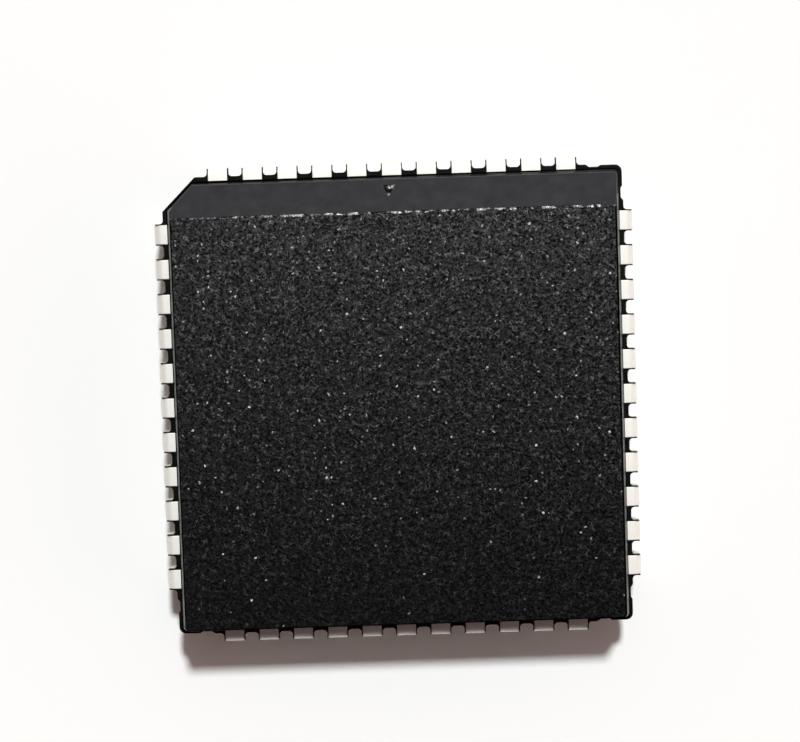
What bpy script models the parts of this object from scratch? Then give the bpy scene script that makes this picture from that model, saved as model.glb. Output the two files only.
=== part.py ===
"""A 44-lead plastic chip carrier: a moulded body with eleven J-shaped leads on each side.

The carrier stands on its lead feet at Z = 0, centred on the Z axis. The side with the
wide chamfer and lead 1 faces +Y, and the leads count anticlockwise as seen from above.
A side is built in its own frame, with X along the side and Y pointing out of the body,
and then turned by a quarter turn for each of the four sides.
"""

import math

import bmesh
import bpy
from mathutils import Matrix, Vector

MM = 0.001
SIDES = 4

# Pattern of the leads: a side's row ends at a margin from the walls round the corners
PITCH = 1.27 * MM
LEADS_PER_SIDE = 11
ROW_MARGIN = 1.93 * MM

# Outer part of a lead, which is a bent strip: radii are those of its middle line
LEAD_REACH = 0.47 * MM
LEAD_THICKNESS = 0.254 * MM
FRAME_HEIGHT = 2.54 * MM
SHOULDER_WIDTH = 0.71 * MM
SHOULDER_BEND_RADIUS = 0.20 * MM
SHOULDER_DROP = 0.80 * MM
SHANK_WIDTH = 0.46 * MM
SHANK_TAPER = 0.20 * MM
FOOT_RADIUS = 0.80 * MM
SHOULDER_BEND_STEPS = 3
FOOT_STEPS = 7

# Inner part of a lead, which fans in towards the die paddle between two tie bars
FAN_DEPTH = 0.85 * MM
FINGER_GAP = 0.35 * MM
FINGER_TIP_WIDTH = 0.32 * MM
TIE_GAP = 0.24 * MM

# Die paddle, die and the bond wires between them and the fingers
PADDLE_WIDTH = 7.0 * MM
PADDLE_DOWNSET = 0.25 * MM
TIE_WIDTH = 0.35 * MM
TIE_RAMP = 0.45 * MM
TIE_SETBACK = 0.20 * MM
ATTACH_MARGIN = 0.12 * MM
ATTACH_THICKNESS = 0.03 * MM
DIE_WIDTH = 5.0 * MM
DIE_THICKNESS = 0.40 * MM
PAD_INSET = 0.16 * MM
PAD_CORNER_INSET = 0.50 * MM
WIRE_RADIUS = 0.0165 * MM
BALL_RADIUS = 0.035 * MM
LOOP_HEIGHT = 0.20 * MM
STITCH_INSET = 0.22 * MM
WIRE_SIDES = 3

# Moulded body: two halves that are both widest at the parting line
BODY_TOP = 4.39 * MM
STANDOFF = 0.58 * MM
DRAFT_ANGLE = math.radians(8.7)
CORNER_RADIUS = 0.15 * MM
CORNER_STEPS = 2
INDEX_CHAMFER = 1.00 * MM
SIDE_CHAMFER_HEIGHT = 0.74 * MM
SIDE_CHAMFER_RUN = 1.19 * MM
EDGE_BLEND = 0.06 * MM

# Resin that squeezed out between the leads, up to where the tie bar was punched away
WEB_REACH = 0.13 * MM
WEB_HORN_REACH = 0.42 * MM
WEB_HORN_WIDTH = 0.03 * MM
WEB_HORN_TAPER = 0.10 * MM
WEB_ARCH_POWER = 0.5
WEB_STEPS = 4
END_WEB_LENGTH = 0.50 * MM
END_WEB_TAPER = 0.15 * MM
NOTCH_LENGTH = 0.30 * MM
TAB_REACH = 0.10 * MM
TAB_TAPER = 0.12 * MM
INDEX_WEB_REACH = 0.03 * MM

# Recesses of the body
POCKET_CLEARANCE = 0.10 * MM
POCKET_SIDE_CLEARANCE = 0.12 * MM
POCKET_DRAFT = 0.03 * MM
MARK_WIDTH = 0.47 * MM
MARK_LENGTH = 0.50 * MM
MARK_DEPTH = 0.08 * MM
MARK_INSET = 0.52 * MM
EJECTOR_RADIUS = 0.75 * MM
EJECTOR_DEPTH = 0.05 * MM
EJECTOR_INSET = 3.9 * MM
EJECTOR_STEPS = 12

# Clearance between the resin and what it holds, and between stacked pieces
SEAT_GAP = 0.01 * MM
# How far a cutter reaches past the surface that it opens
CUT_MARGIN = 0.40 * MM
# Points closer than this are one point
WELD_DISTANCE = 0.0001 * MM

# Values that follow from the ones above: the row of leads sets the body's width at the
# parting line, and the body with its leads sets the span over the leads
HALF_ROW = (LEADS_PER_SIDE - 1) / 2
LAST_LEAD = HALF_ROW * PITCH
BODY_WIDTH = 2 * (LAST_LEAD + ROW_MARGIN)
LEAD_SPAN = BODY_WIDTH + 2 * LEAD_REACH
BODY_HALF = BODY_WIDTH / 2
LEAD_OUTER = LEAD_SPAN / 2
LEAD_MIDDLE = LEAD_OUTER - LEAD_THICKNESS / 2
FOOT_FACET_ANGLE = math.pi / FOOT_STEPS
FOOT_CENTRE_HEIGHT = (FOOT_RADIUS + LEAD_THICKNESS / 2) * math.cos(FOOT_FACET_ANGLE / 2)
FINGER_TIP = PADDLE_WIDTH / 2 + FINGER_GAP
LAST_TIP = FINGER_TIP - (TIE_WIDTH / 2 + TIE_GAP) * math.sqrt(2) - FINGER_TIP_WIDTH / 2
FINGER_TIP_PITCH = LAST_TIP / HALF_ROW
PAD_PITCH = (DIE_WIDTH / 2 - PAD_CORNER_INSET) / HALF_ROW
PADDLE_HEIGHT = FRAME_HEIGHT - PADDLE_DOWNSET
PADDLE_TOP = PADDLE_HEIGHT + LEAD_THICKNESS / 2
ATTACH_WIDTH = DIE_WIDTH + 2 * ATTACH_MARGIN
ATTACH_BOTTOM = PADDLE_TOP + SEAT_GAP
DIE_BOTTOM = ATTACH_BOTTOM + ATTACH_THICKNESS + SEAT_GAP
DIE_TOP = DIE_BOTTOM + DIE_THICKNESS


def clear_scene():
    """Remove whatever the scene holds before the model is built."""
    for obj in list(bpy.data.objects):
        bpy.data.objects.remove(obj)


def new_collection(name):
    """Add a collection to the scene."""
    collection = bpy.data.collections.new(name)
    bpy.context.scene.collection.children.link(collection)
    return collection


def new_material(name, color, roughness, metallic):
    """Make a Principled material."""
    material = bpy.data.materials.new(name)
    material.use_nodes = True
    shader = material.node_tree.nodes["Principled BSDF"]
    shader.inputs["Base Color"].default_value = (*color, 1.0)
    shader.inputs["Roughness"].default_value = roughness
    shader.inputs["Metallic"].default_value = metallic
    return material


def new_object(name, mesh, collection, material=None):
    """Put a mesh into the scene as a named object."""
    obj = bpy.data.objects.new(name, mesh)
    collection.objects.link(obj)
    if material:
        mesh.materials.clear()
        mesh.materials.append(material)
    return obj


def new_cutter(name, mesh, collection):
    """Put a mesh into the scene as a cutter, which isn't rendered."""
    obj = new_object(name, mesh, collection)
    obj.hide_render = True
    obj.display_type = "WIRE"
    return obj


def combine(target, other, operation, crossing=False):
    """Join another object to the target, or cut it out, even if its own bodies cross."""
    modifier = target.modifiers.new(f"{operation.lower()} {other.name}", "BOOLEAN")
    modifier.operation = operation
    modifier.solver = "EXACT"
    modifier.use_self = crossing
    modifier.object = other


def evaluated_mesh(obj):
    """Return a plain mesh of an object with its modifiers applied."""
    bpy.context.view_layer.update()
    graph = bpy.context.evaluated_depsgraph_get()
    return bpy.data.meshes.new_from_object(obj.evaluated_get(graph))


def joined_mesh(base, other):
    """Return the union of two helper objects as one mesh, and remove both."""
    combine(base, other, "UNION")
    mesh = evaluated_mesh(base)
    bpy.data.objects.remove(base)
    bpy.data.objects.remove(other)
    return mesh


def mesh_from(bm, name):
    """Turn a bmesh into a mesh and free it."""
    bmesh.ops.recalc_face_normals(bm, faces=bm.faces)
    mesh = bpy.data.meshes.new(name)
    bm.to_mesh(mesh)
    bm.free()
    return mesh


def add_loft(bm, rings):
    """Skin a row of rings that have the same number of points, and cap both ends."""
    loops = []
    for ring in rings:
        loops.append([bm.verts.new(point) for point in ring])
    for lower, upper in zip(loops, loops[1:]):
        for i in range(len(lower)):
            j = (i + 1) % len(lower)
            bm.faces.new((lower[i], lower[j], upper[j], upper[i]))
    bm.faces.new(reversed(loops[0]))
    bm.faces.new(loops[-1])


def slab(width, bottom, top):
    """Return the mesh of a square slab centred on the Z axis."""
    bm = bmesh.new()
    matrix = Matrix.Translation((0, 0, (bottom + top) / 2)) @ Matrix.Diagonal((width, width, top - bottom, 1))
    bmesh.ops.create_cube(bm, size=1.0, matrix=matrix)
    return mesh_from(bm, "slab")


def section(center, across, half_width, normal, half_thickness):
    """Return the four corners of a strip's section."""
    wide = across * half_width
    thick = normal * half_thickness
    return [center - wide - thick, center + wide - thick, center + wide + thick, center - wide + thick]


def side_turn(side):
    """Return the turn from the +Y side's frame to another side's."""
    return Matrix.Rotation(side * 2 * math.pi / SIDES, 4, "Z")


def lead_indices():
    """Return the leads' places along a side, counted from its middle."""
    half = (LEADS_PER_SIDE - 1) // 2
    return range(-half, LEADS_PER_SIDE - half)


def finger_rings(index, grow):
    """Return a lead's sections from its tip beside the paddle to where it leaves the fan."""
    across = Vector((1, 0, 0))
    up = Vector((0, 0, 1))
    thick = LEAD_THICKNESS / 2 + grow
    tip = Vector((index * FINGER_TIP_PITCH, FINGER_TIP - grow, FRAME_HEIGHT))
    fan = Vector((index * PITCH, BODY_HALF - FAN_DEPTH, FRAME_HEIGHT))
    return [section(tip, across, FINGER_TIP_WIDTH / 2 + grow, up, thick),
            section(fan, across, SHOULDER_WIDTH / 2 + grow, up, thick)]


def arc_ring(index, center_y, center_z, radius, angle, width):
    """Return a section of a strip that bends around a centre in the lead's plane."""
    normal = Vector((0, math.cos(angle), math.sin(angle)))
    middle = Vector((index * PITCH, center_y, center_z)) + normal * radius
    return section(middle, Vector((1, 0, 0)), width / 2, normal, LEAD_THICKNESS / 2)


def shoulder_rings(index):
    """Return the sections of the upper bend, from level to straight down."""
    center_y = LEAD_MIDDLE - SHOULDER_BEND_RADIUS
    center_z = FRAME_HEIGHT - SHOULDER_BEND_RADIUS
    rings = []
    for step in range(SHOULDER_BEND_STEPS + 1):
        angle = math.pi / 2 * (1 - step / SHOULDER_BEND_STEPS)
        rings.append(arc_ring(index, center_y, center_z, SHOULDER_BEND_RADIUS, angle, SHOULDER_WIDTH))
    return rings


def shank_rings(index):
    """Return the sections where the wide shoulder narrows to the shank."""
    outward = Vector((0, 1, 0))
    across = Vector((1, 0, 0))
    rings = []
    for drop, width in ((SHOULDER_DROP, SHOULDER_WIDTH), (SHOULDER_DROP + SHANK_TAPER, SHANK_WIDTH)):
        middle = Vector((index * PITCH, LEAD_MIDDLE, FRAME_HEIGHT - drop))
        rings.append(section(middle, across, width / 2, outward, LEAD_THICKNESS / 2))
    return rings


def foot_rings(index):
    """Return the sections of the J, which ends pointing up into the body's pocket."""
    center_y = LEAD_MIDDLE - FOOT_RADIUS
    rings = []
    for step in range(FOOT_STEPS + 1):
        angle = -step * FOOT_FACET_ANGLE
        rings.append(arc_ring(index, center_y, FOOT_CENTRE_HEIGHT, FOOT_RADIUS, angle, SHANK_WIDTH))
    return rings


def lead_strip(index):
    """Return the mesh of one bent lead without its bond wire."""
    bm = bmesh.new()
    rings = finger_rings(index, 0.0) + shoulder_rings(index) + shank_rings(index) + foot_rings(index)
    add_loft(bm, rings)
    return mesh_from(bm, "lead_strip")


def poly_curve(name, points, cyclic):
    """Add a curve object of straight runs through a list of points."""
    curve = bpy.data.curves.new(name, "CURVE")
    curve.dimensions = "3D"
    spline = curve.splines.new("POLY")
    spline.points.add(len(points) - 1)
    for point, place in zip(spline.points, points):
        point.co = (*place, 1.0)
    spline.use_cyclic_u = cyclic
    obj = bpy.data.objects.new(name, curve)
    bpy.context.scene.collection.objects.link(obj)
    return obj


def wire_mesh(index, grow):
    """Return a bond wire, from inside its finger up and over to its pad on the die."""
    radius = WIRE_RADIUS + grow
    corners = [Matrix.Rotation(2 * math.pi * step / WIRE_SIDES, 3, "Z") @ Vector((0, radius, 0))
               for step in range(WIRE_SIDES)]
    profile = poly_curve("wire_profile", corners, cyclic=True)

    finger = Vector((index * FINGER_TIP_PITCH, FINGER_TIP + STITCH_INSET,
                     FRAME_HEIGHT + LEAD_THICKNESS / 2 - 2 * WIRE_RADIUS))
    pad = Vector((index * PAD_PITCH, DIE_WIDTH / 2 - PAD_INSET, DIE_TOP + SEAT_GAP - grow))
    loop = Vector((pad.x, pad.y, DIE_TOP + LOOP_HEIGHT))
    wire = poly_curve("bond_wire", (finger, loop, pad), cyclic=False)
    wire.data.bevel_mode = "OBJECT"
    wire.data.bevel_object = profile
    wire.data.use_fill_caps = True
    wire.data.splines[0].points[2].radius = (BALL_RADIUS + grow) / radius

    mesh = evaluated_mesh(wire)
    for obj in (wire, profile):
        curve = obj.data
        bpy.data.objects.remove(obj)
        bpy.data.curves.remove(curve)
    bm = bmesh.new()
    bm.from_mesh(mesh)
    bpy.data.meshes.remove(mesh)
    bmesh.ops.remove_doubles(bm, verts=bm.verts, dist=WELD_DISTANCE)
    return mesh_from(bm, "bond_wire")


def build_leads(parts, cutters, material):
    """Add the leads, each with its bond wire welded to its finger."""
    count = SIDES * LEADS_PER_SIDE
    half = (LEADS_PER_SIDE - 1) // 2
    for index in lead_indices():
        strip = new_object("strip", lead_strip(index), cutters)
        wire = new_object("wire", wire_mesh(index, 0.0), cutters)
        mesh = joined_mesh(strip, wire)
        for side in range(SIDES):
            place = side * LEADS_PER_SIDE + half - index
            number = (place - half) % count + 1
            lead = new_object(f"lead_{number:02d}", mesh, parts, material)
            lead.matrix_world = side_turn(side)


def tie_rings(side, grow):
    """Return the sections of a tie bar, from the paddle's corner up and out into the body's."""
    diagonal = Matrix.Rotation(math.pi / 4 + side * 2 * math.pi / SIDES, 3, "Z") @ Vector((0, 1, 0))
    across = Vector((diagonal.y, -diagonal.x, 0))
    up = Vector((0, 0, 1))
    if side == 0:
        corner = (BODY_WIDTH - INDEX_CHAMFER) / math.sqrt(2)
    else:
        corner = BODY_HALF * math.sqrt(2) - CORNER_RADIUS * (math.sqrt(2) - 1)
    paddle_corner = PADDLE_WIDTH / math.sqrt(2)
    stations = ((paddle_corner - TIE_WIDTH, PADDLE_HEIGHT),
                (paddle_corner + TIE_WIDTH / 2, PADDLE_HEIGHT),
                (paddle_corner + TIE_WIDTH / 2 + TIE_RAMP, FRAME_HEIGHT),
                (corner - TIE_SETBACK + grow, FRAME_HEIGHT))
    rings = []
    for distance, height in stations:
        middle = diagonal * distance + Vector((0, 0, height))
        rings.append(section(middle, across, TIE_WIDTH / 2 + grow, up, LEAD_THICKNESS / 2 + grow))
    return rings


def paddle_mesh(grow, cutters):
    """Return the lowered paddle with its four tie bars, enlarged by a clearance."""
    half_thickness = LEAD_THICKNESS / 2 + grow
    plate = new_object("plate", slab(PADDLE_WIDTH + 2 * grow, PADDLE_HEIGHT - half_thickness,
                                     PADDLE_HEIGHT + half_thickness), cutters)
    bm = bmesh.new()
    for side in range(SIDES):
        add_loft(bm, tie_rings(side, grow))
    ties = new_object("ties", mesh_from(bm, "ties"), cutters)
    return joined_mesh(plate, ties)


def body_outline(inset):
    """Return the body's outline, moved in from the parting line by an even distance."""
    half = BODY_HALF - inset
    chamfer = INDEX_CHAMFER - (2 - math.sqrt(2)) * inset
    center = half - CORNER_RADIUS
    points = []
    for side in range(SIDES):
        turn = side_turn(side)
        if side == 1:
            points.append(Vector((chamfer - half, half, 0)))
            points.append(Vector((-half, half - chamfer, 0)))
            continue
        for step in range(CORNER_STEPS + 1):
            angle = math.pi / 2 * step / CORNER_STEPS
            rounding = Vector((math.cos(angle), math.sin(angle), 0)) * CORNER_RADIUS
            points.append(turn @ (Vector((center, center, 0)) + rounding))
    return points


def at_height(points, height):
    """Return the points of an outline at a height."""
    return [Vector((point.x, point.y, height)) for point in points]


def side_chamfer():
    """Return the side chamfer's lower edge at X = 0, its upward slope and its outward normal."""
    height = BODY_TOP - SIDE_CHAMFER_HEIGHT
    wall = BODY_HALF - (height - FRAME_HEIGHT) * math.tan(DRAFT_ANGLE)
    slope = Vector((0, -SIDE_CHAMFER_RUN, SIDE_CHAMFER_HEIGHT)).normalized()
    return Vector((0, wall, height)), slope, Vector((0, slope.z, -slope.y))


def body_shell():
    """Return the body's outer form: two drafted halves, the side chamfer and soft edges."""
    upper_inset = (BODY_TOP - FRAME_HEIGHT) * math.tan(DRAFT_ANGLE)
    lower_inset = (FRAME_HEIGHT - STANDOFF) * math.tan(DRAFT_ANGLE)
    bm = bmesh.new()
    add_loft(bm, [at_height(body_outline(lower_inset), STANDOFF),
                  at_height(body_outline(0.0), FRAME_HEIGHT),
                  at_height(body_outline(upper_inset), BODY_TOP)])
    foot, _, normal = side_chamfer()
    everything = bm.verts[:] + bm.edges[:] + bm.faces[:]
    cut = bmesh.ops.bisect_plane(bm, geom=everything, plane_co=foot, plane_no=normal,
                                 dist=WELD_DISTANCE, clear_outer=True)
    rim = [item for item in cut["geom_cut"] if isinstance(item, bmesh.types.BMEdge)]
    bmesh.ops.edgeloop_fill(bm, edges=rim)
    bmesh.ops.recalc_face_normals(bm, faces=bm.faces)
    mark_soft_edges(bm)
    return mesh_from(bm, "body_shell")


def mark_soft_edges(bm):
    """Give a bevel weight to every edge that isn't between two steep walls."""
    weight = bm.edges.layers.float.new("bevel_weight_edge")
    for edge in bm.edges:
        walls = [face for face in edge.link_faces if abs(face.normal.z) < math.cos(math.pi / 4)]
        if len(walls) < len(edge.link_faces):
            edge[weight] = 1.0


def web_end(meets_chamfer):
    """Return the resin's edge past the last lead, as distances from the middle and reaches."""
    horn = LAST_LEAD + SHOULDER_WIDTH / 2 + SEAT_GAP + WEB_HORN_WIDTH
    points = [(horn, WEB_HORN_REACH), (horn + WEB_HORN_TAPER, WEB_REACH)]
    if meets_chamfer:
        points.append((BODY_HALF - INDEX_CHAMFER + math.sqrt(2) * INDEX_WEB_REACH - WEB_REACH, WEB_REACH))
        return points
    web_stop = LAST_LEAD + SHOULDER_WIDTH / 2 + END_WEB_LENGTH
    tab_start = web_stop + NOTCH_LENGTH
    points.append((web_stop - END_WEB_TAPER, WEB_REACH))
    points.append((web_stop, -TAB_REACH))
    points.append((tab_start, -TAB_REACH))
    points.append((tab_start + TAB_TAPER, TAB_REACH))
    return points


def web_arch(left_lead):
    """Return the punched arch between a lead and the next one along +X, from +X to -X."""
    middle = left_lead + PITCH / 2
    half_width = (PITCH - SHOULDER_WIDTH) / 2 - SEAT_GAP - WEB_HORN_WIDTH
    depth = WEB_HORN_REACH - WEB_REACH
    points = []
    for step in range(WEB_STEPS + 1):
        angle = math.pi * step / WEB_STEPS
        across = math.copysign(abs(math.cos(angle)) ** WEB_ARCH_POWER, math.cos(angle))
        along = max(math.sin(angle), 0.0) ** WEB_ARCH_POWER
        points.append((middle + half_width * across, WEB_HORN_REACH - depth * along))
    return points


def web_outline():
    """Return the outline of the resin that surrounds the leads and the corners."""
    points = []
    for side in range(SIDES):
        turn = side_turn(side)
        local = []
        if side != 1:
            center = BODY_HALF - CORNER_RADIUS
            radius = CORNER_RADIUS + TAB_REACH
            for step in range(CORNER_STEPS + 1):
                angle = math.pi / 2 * step / CORNER_STEPS
                local.append((center + radius * math.cos(angle),
                              center + radius * math.sin(angle) - BODY_HALF))
        local += reversed(web_end(side == 1))
        for index in reversed(lead_indices()[:-1]):
            local += web_arch(index * PITCH)
        local += [(-place, reach) for place, reach in web_end(side == 0)]
        points += [turn @ Vector((place, BODY_HALF + reach, 0)) for place, reach in local]
    return points


def web_plate():
    """Return the resin between the leads as one plate, as thick as the leads."""
    outline = web_outline()
    bm = bmesh.new()
    add_loft(bm, [at_height(outline, FRAME_HEIGHT - LEAD_THICKNESS / 2),
                  at_height(outline, FRAME_HEIGHT + LEAD_THICKNESS / 2)])
    return mesh_from(bm, "web_plate")


def lead_slots():
    """Return the room that the fingers and shoulders take in the resin."""
    up = Vector((0, 0, 1))
    across = Vector((1, 0, 0))
    bm = bmesh.new()
    for side in range(SIDES):
        turn = side_turn(side)
        for index in lead_indices():
            rings = finger_rings(index, SEAT_GAP)
            mouth = Vector((index * PITCH, LEAD_OUTER + CUT_MARGIN, FRAME_HEIGHT))
            rings.append(section(mouth, across, SHOULDER_WIDTH / 2 + SEAT_GAP,
                                 up, LEAD_THICKNESS / 2 + SEAT_GAP))
            add_loft(bm, [[turn @ point for point in ring] for ring in rings])
    return mesh_from(bm, "lead_slots")


def wire_channels():
    """Return the room that the bond wires take in the resin."""
    bm = bmesh.new()
    for index in lead_indices():
        wire = wire_mesh(index, SEAT_GAP)
        for side in range(SIDES):
            placed = wire.copy()
            placed.transform(side_turn(side))
            bm.from_mesh(placed)
            bpy.data.meshes.remove(placed)
    return mesh_from(bm, "wire_channels")


def rectangle(center_x, near, far, half_width, height):
    """Return a level rectangle of a side's frame, from its near to its far edge."""
    return [Vector((center_x - half_width, near, height)), Vector((center_x + half_width, near, height)),
            Vector((center_x + half_width, far, height)), Vector((center_x - half_width, far, height))]


def tip_pockets():
    """Return the drafted pockets under the body that the lead tips tuck into."""
    near = LEAD_MIDDLE - 2 * FOOT_RADIUS - LEAD_THICKNESS / 2 - POCKET_CLEARANCE
    far = LEAD_OUTER
    half_width = SHANK_WIDTH / 2 + POCKET_SIDE_CLEARANCE
    ceiling = FOOT_CENTRE_HEIGHT + POCKET_CLEARANCE
    bm = bmesh.new()
    for side in range(SIDES):
        turn = side_turn(side)
        for index in lead_indices():
            rings = [rectangle(index * PITCH, near - POCKET_DRAFT, far, half_width + POCKET_DRAFT,
                               STANDOFF - CUT_MARGIN),
                     rectangle(index * PITCH, near, far, half_width, ceiling)]
            add_loft(bm, [[turn @ point for point in ring] for ring in rings])
    return mesh_from(bm, "tip_pockets")


def index_mark():
    """Return the small triangular recess that marks lead 1 on the side chamfer."""
    foot, slope, normal = side_chamfer()
    middle = foot + slope * MARK_INSET
    across = Vector((1, 0, 0))
    base = middle - slope * MARK_LENGTH / 2
    corners = (base - across * MARK_WIDTH / 2, base + across * MARK_WIDTH / 2,
               middle + slope * MARK_LENGTH / 2)
    bm = bmesh.new()
    add_loft(bm, [[corner - normal * MARK_DEPTH for corner in corners],
                  [corner + normal * MARK_DEPTH for corner in corners]])
    return mesh_from(bm, "index_mark")


def ejector_marks():
    """Return the shallow round marks that the mould's ejector pins leave underneath."""
    bm = bmesh.new()
    for side in range(SIDES):
        place = Vector((BODY_HALF - EJECTOR_INSET, BODY_HALF - EJECTOR_INSET, STANDOFF))
        matrix = Matrix.Translation(side_turn(side) @ place)
        bmesh.ops.create_cone(bm, cap_ends=True, segments=EJECTOR_STEPS, radius1=EJECTOR_RADIUS,
                              radius2=EJECTOR_RADIUS, depth=2 * EJECTOR_DEPTH, matrix=matrix)
    return mesh_from(bm, "ejector_marks")


def build_body(parts, cutters, material):
    """Add the moulded body, hollowed out for everything that the resin surrounds."""
    body = new_object("moulded_body", body_shell(), parts, material)
    soften = body.modifiers.new("soft edges", "BEVEL")
    soften.limit_method = "WEIGHT"
    soften.width = EDGE_BLEND
    soften.segments = 1
    combine(body, new_cutter("web_plate", web_plate(), cutters), "UNION")
    combine(body, new_cutter("tip_pockets", tip_pockets(), cutters), "DIFFERENCE", crossing=True)
    combine(body, new_cutter("lead_slots", lead_slots(), cutters), "DIFFERENCE")
    combine(body, new_cutter("paddle_room", paddle_mesh(SEAT_GAP, cutters), cutters), "DIFFERENCE")
    attach_room = slab(ATTACH_WIDTH + 2 * SEAT_GAP, PADDLE_TOP, DIE_BOTTOM)
    combine(body, new_cutter("attach_room", attach_room, cutters), "DIFFERENCE")
    die_room = slab(DIE_WIDTH + 2 * SEAT_GAP, ATTACH_BOTTOM, DIE_TOP + SEAT_GAP)
    combine(body, new_cutter("die_room", die_room, cutters), "DIFFERENCE")
    combine(body, new_cutter("wire_channels", wire_channels(), cutters), "DIFFERENCE")
    combine(body, new_cutter("index_mark", index_mark(), cutters), "DIFFERENCE")
    combine(body, new_cutter("ejector_marks", ejector_marks(), cutters), "DIFFERENCE")


def build_inside(parts, cutters):
    """Add the paddle, the film that bonds the die to it, and the die."""
    copper = new_material("copper_alloy", (0.62, 0.34, 0.20), 0.35, 1.0)
    new_object("die_paddle", paddle_mesh(0.0, cutters), parts, copper)
    film = new_material("silver_epoxy", (0.55, 0.55, 0.53), 0.55, 0.3)
    new_object("die_attach", slab(ATTACH_WIDTH, ATTACH_BOTTOM, ATTACH_BOTTOM + ATTACH_THICKNESS), parts, film)
    silicon = new_material("silicon", (0.20, 0.22, 0.26), 0.25, 0.4)
    new_object("silicon_die", slab(DIE_WIDTH, DIE_BOTTOM, DIE_TOP), parts, silicon)


def build():
    """Build the whole carrier."""
    clear_scene()
    parts = new_collection("plcc_chip")
    cutters = new_collection("cutters")
    resin = new_material("mould_resin", (0.018, 0.018, 0.020), 0.55, 0.0)
    tin = new_material("tin_plate", (0.72, 0.70, 0.66), 0.35, 1.0)
    build_leads(parts, cutters, tin)
    build_inside(parts, cutters)
    build_body(parts, cutters, resin)


build()
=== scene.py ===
# %% [markdown]
# # A plastic leaded chip carrier, photographed from above
#
# The object is a square black package, 17.5 mm across, with eleven J-shaped leads on each
# of its four sides. It lies on a white table, and a camera looks down at it.
#
# This lesson dresses an engineering model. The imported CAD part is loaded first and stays
# as it is, so it acts as a jig: every new piece takes its place from it. Then come the
# camera, the light, the finishes, the leads, the moulded body and the parts inside.

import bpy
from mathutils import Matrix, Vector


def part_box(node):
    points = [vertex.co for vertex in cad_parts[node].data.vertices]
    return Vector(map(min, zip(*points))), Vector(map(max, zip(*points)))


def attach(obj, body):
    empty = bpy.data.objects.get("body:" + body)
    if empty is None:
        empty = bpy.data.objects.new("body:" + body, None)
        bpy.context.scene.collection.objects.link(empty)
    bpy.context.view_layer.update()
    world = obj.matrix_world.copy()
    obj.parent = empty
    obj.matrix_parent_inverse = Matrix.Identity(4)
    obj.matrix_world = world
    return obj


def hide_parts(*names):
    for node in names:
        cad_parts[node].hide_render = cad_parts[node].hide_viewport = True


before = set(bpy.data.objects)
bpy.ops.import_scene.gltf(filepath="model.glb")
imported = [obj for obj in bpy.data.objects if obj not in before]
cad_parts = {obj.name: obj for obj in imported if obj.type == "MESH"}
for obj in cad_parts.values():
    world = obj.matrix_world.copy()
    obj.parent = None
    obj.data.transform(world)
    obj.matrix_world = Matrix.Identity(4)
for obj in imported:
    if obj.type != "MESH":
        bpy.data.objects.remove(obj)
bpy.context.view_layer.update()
print("CAD nodes:", len(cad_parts))

# %% Import Blender's modules
import math

import bmesh
import bpy
from mathutils import Matrix, Vector

MM = 0.001

# %% [markdown]
# ## Sizes
#
# A size that the engineering model already holds is measured on it, so that nothing can
# drift apart. The box of the first lead gives the width of a shoulder and the span over
# the leads, and its distance to the next lead is the pitch. The sizes that no box shows,
# such as a bend's radius, are written out once, in millimetres.
#
# A side of the package is always described in its own frame: X runs along the side, Y
# points out of the body and Z up. Four quarter turns make the other sides from it.

# %% Measure the frame
SIDES = 4
lead_nodes = sorted(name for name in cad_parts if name.startswith("lead_"))
first_low, first_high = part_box("lead_01")
second_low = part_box("lead_02")[0]
body_low, body_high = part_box("moulded_body")

LEADS_PER_SIDE = len(lead_nodes) // SIDES
PITCH = first_low.x - second_low.x
LAST_LEAD = (LEADS_PER_SIDE - 1) / 2 * PITCH
SHOULDER_WIDTH = first_high.x - first_low.x
LEAD_OUTER = first_high.y
BODY_TOP = body_high.z
STANDOFF = body_low.z
print(f"{len(lead_nodes)} leads, pitch {PITCH / MM:.3f} mm, span {2 * LEAD_OUTER / MM:.2f} mm")

# %% Name the sizes that no box shows
LEAD_REACH = 0.47 * MM
LEAD_THICKNESS = 0.254 * MM
FRAME_HEIGHT = 2.54 * MM
BODY_HALF = LEAD_OUTER - LEAD_REACH
LEAD_MIDDLE = LEAD_OUTER - LEAD_THICKNESS / 2
print(f"body {2 * BODY_HALF / MM:.2f} mm wide at the level of the leads")

# %% [markdown]
# ## A few helpers
#
# Materials and Geometry Nodes are both node trees, and building them in a script means
# the same few steps over and over: add a node, set it up, and link its inputs. A few small
# functions keep the cells that follow short. Some nodes own several sockets of one name
# and hide all but one, so a socket is looked up among those that are in use.

# %% Helpers for node trees
def find_socket(sockets, name):
    """Return the socket that has the number or the name, among those that the node uses now."""
    if isinstance(name, int):
        return sockets[name]
    return next(socket for socket in sockets if socket.enabled and socket.name == name)


def add_node(tree, kind, inputs=None, **settings):
    """Add a node, set its options, and feed each named input with a value or another socket."""
    node = tree.nodes.new(kind)
    for option, value in settings.items():
        setattr(node, option, value)
    for name, value in (inputs or {}).items():
        socket = find_socket(node.inputs, name)
        if isinstance(value, bpy.types.NodeSocket):
            tree.links.new(value, socket)
        else:
            socket.default_value = value
    return node


def add_result(tree, kind, inputs=None, **settings):
    """Add a node and return the first of its outputs that is in use."""
    node = add_node(tree, kind, inputs, **settings)
    return next(socket for socket in node.outputs if socket.enabled)


def calculate(tree, operation, *values, clamp=False):
    """Add a Math node and return its result."""
    inputs = dict(enumerate(values))
    return add_result(tree, "ShaderNodeMath", inputs, operation=operation, use_clamp=clamp)


def blend_range(tree, value, start, end, first, last, smooth=False):
    """Return a value that runs from first to last while its input runs from start to end."""
    kind = "SMOOTHSTEP" if smooth else "LINEAR"
    inputs = {"Value": value, "From Min": start, "From Max": end, "To Min": first, "To Max": last}
    return add_result(tree, "ShaderNodeMapRange", inputs, interpolation_type=kind)


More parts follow.
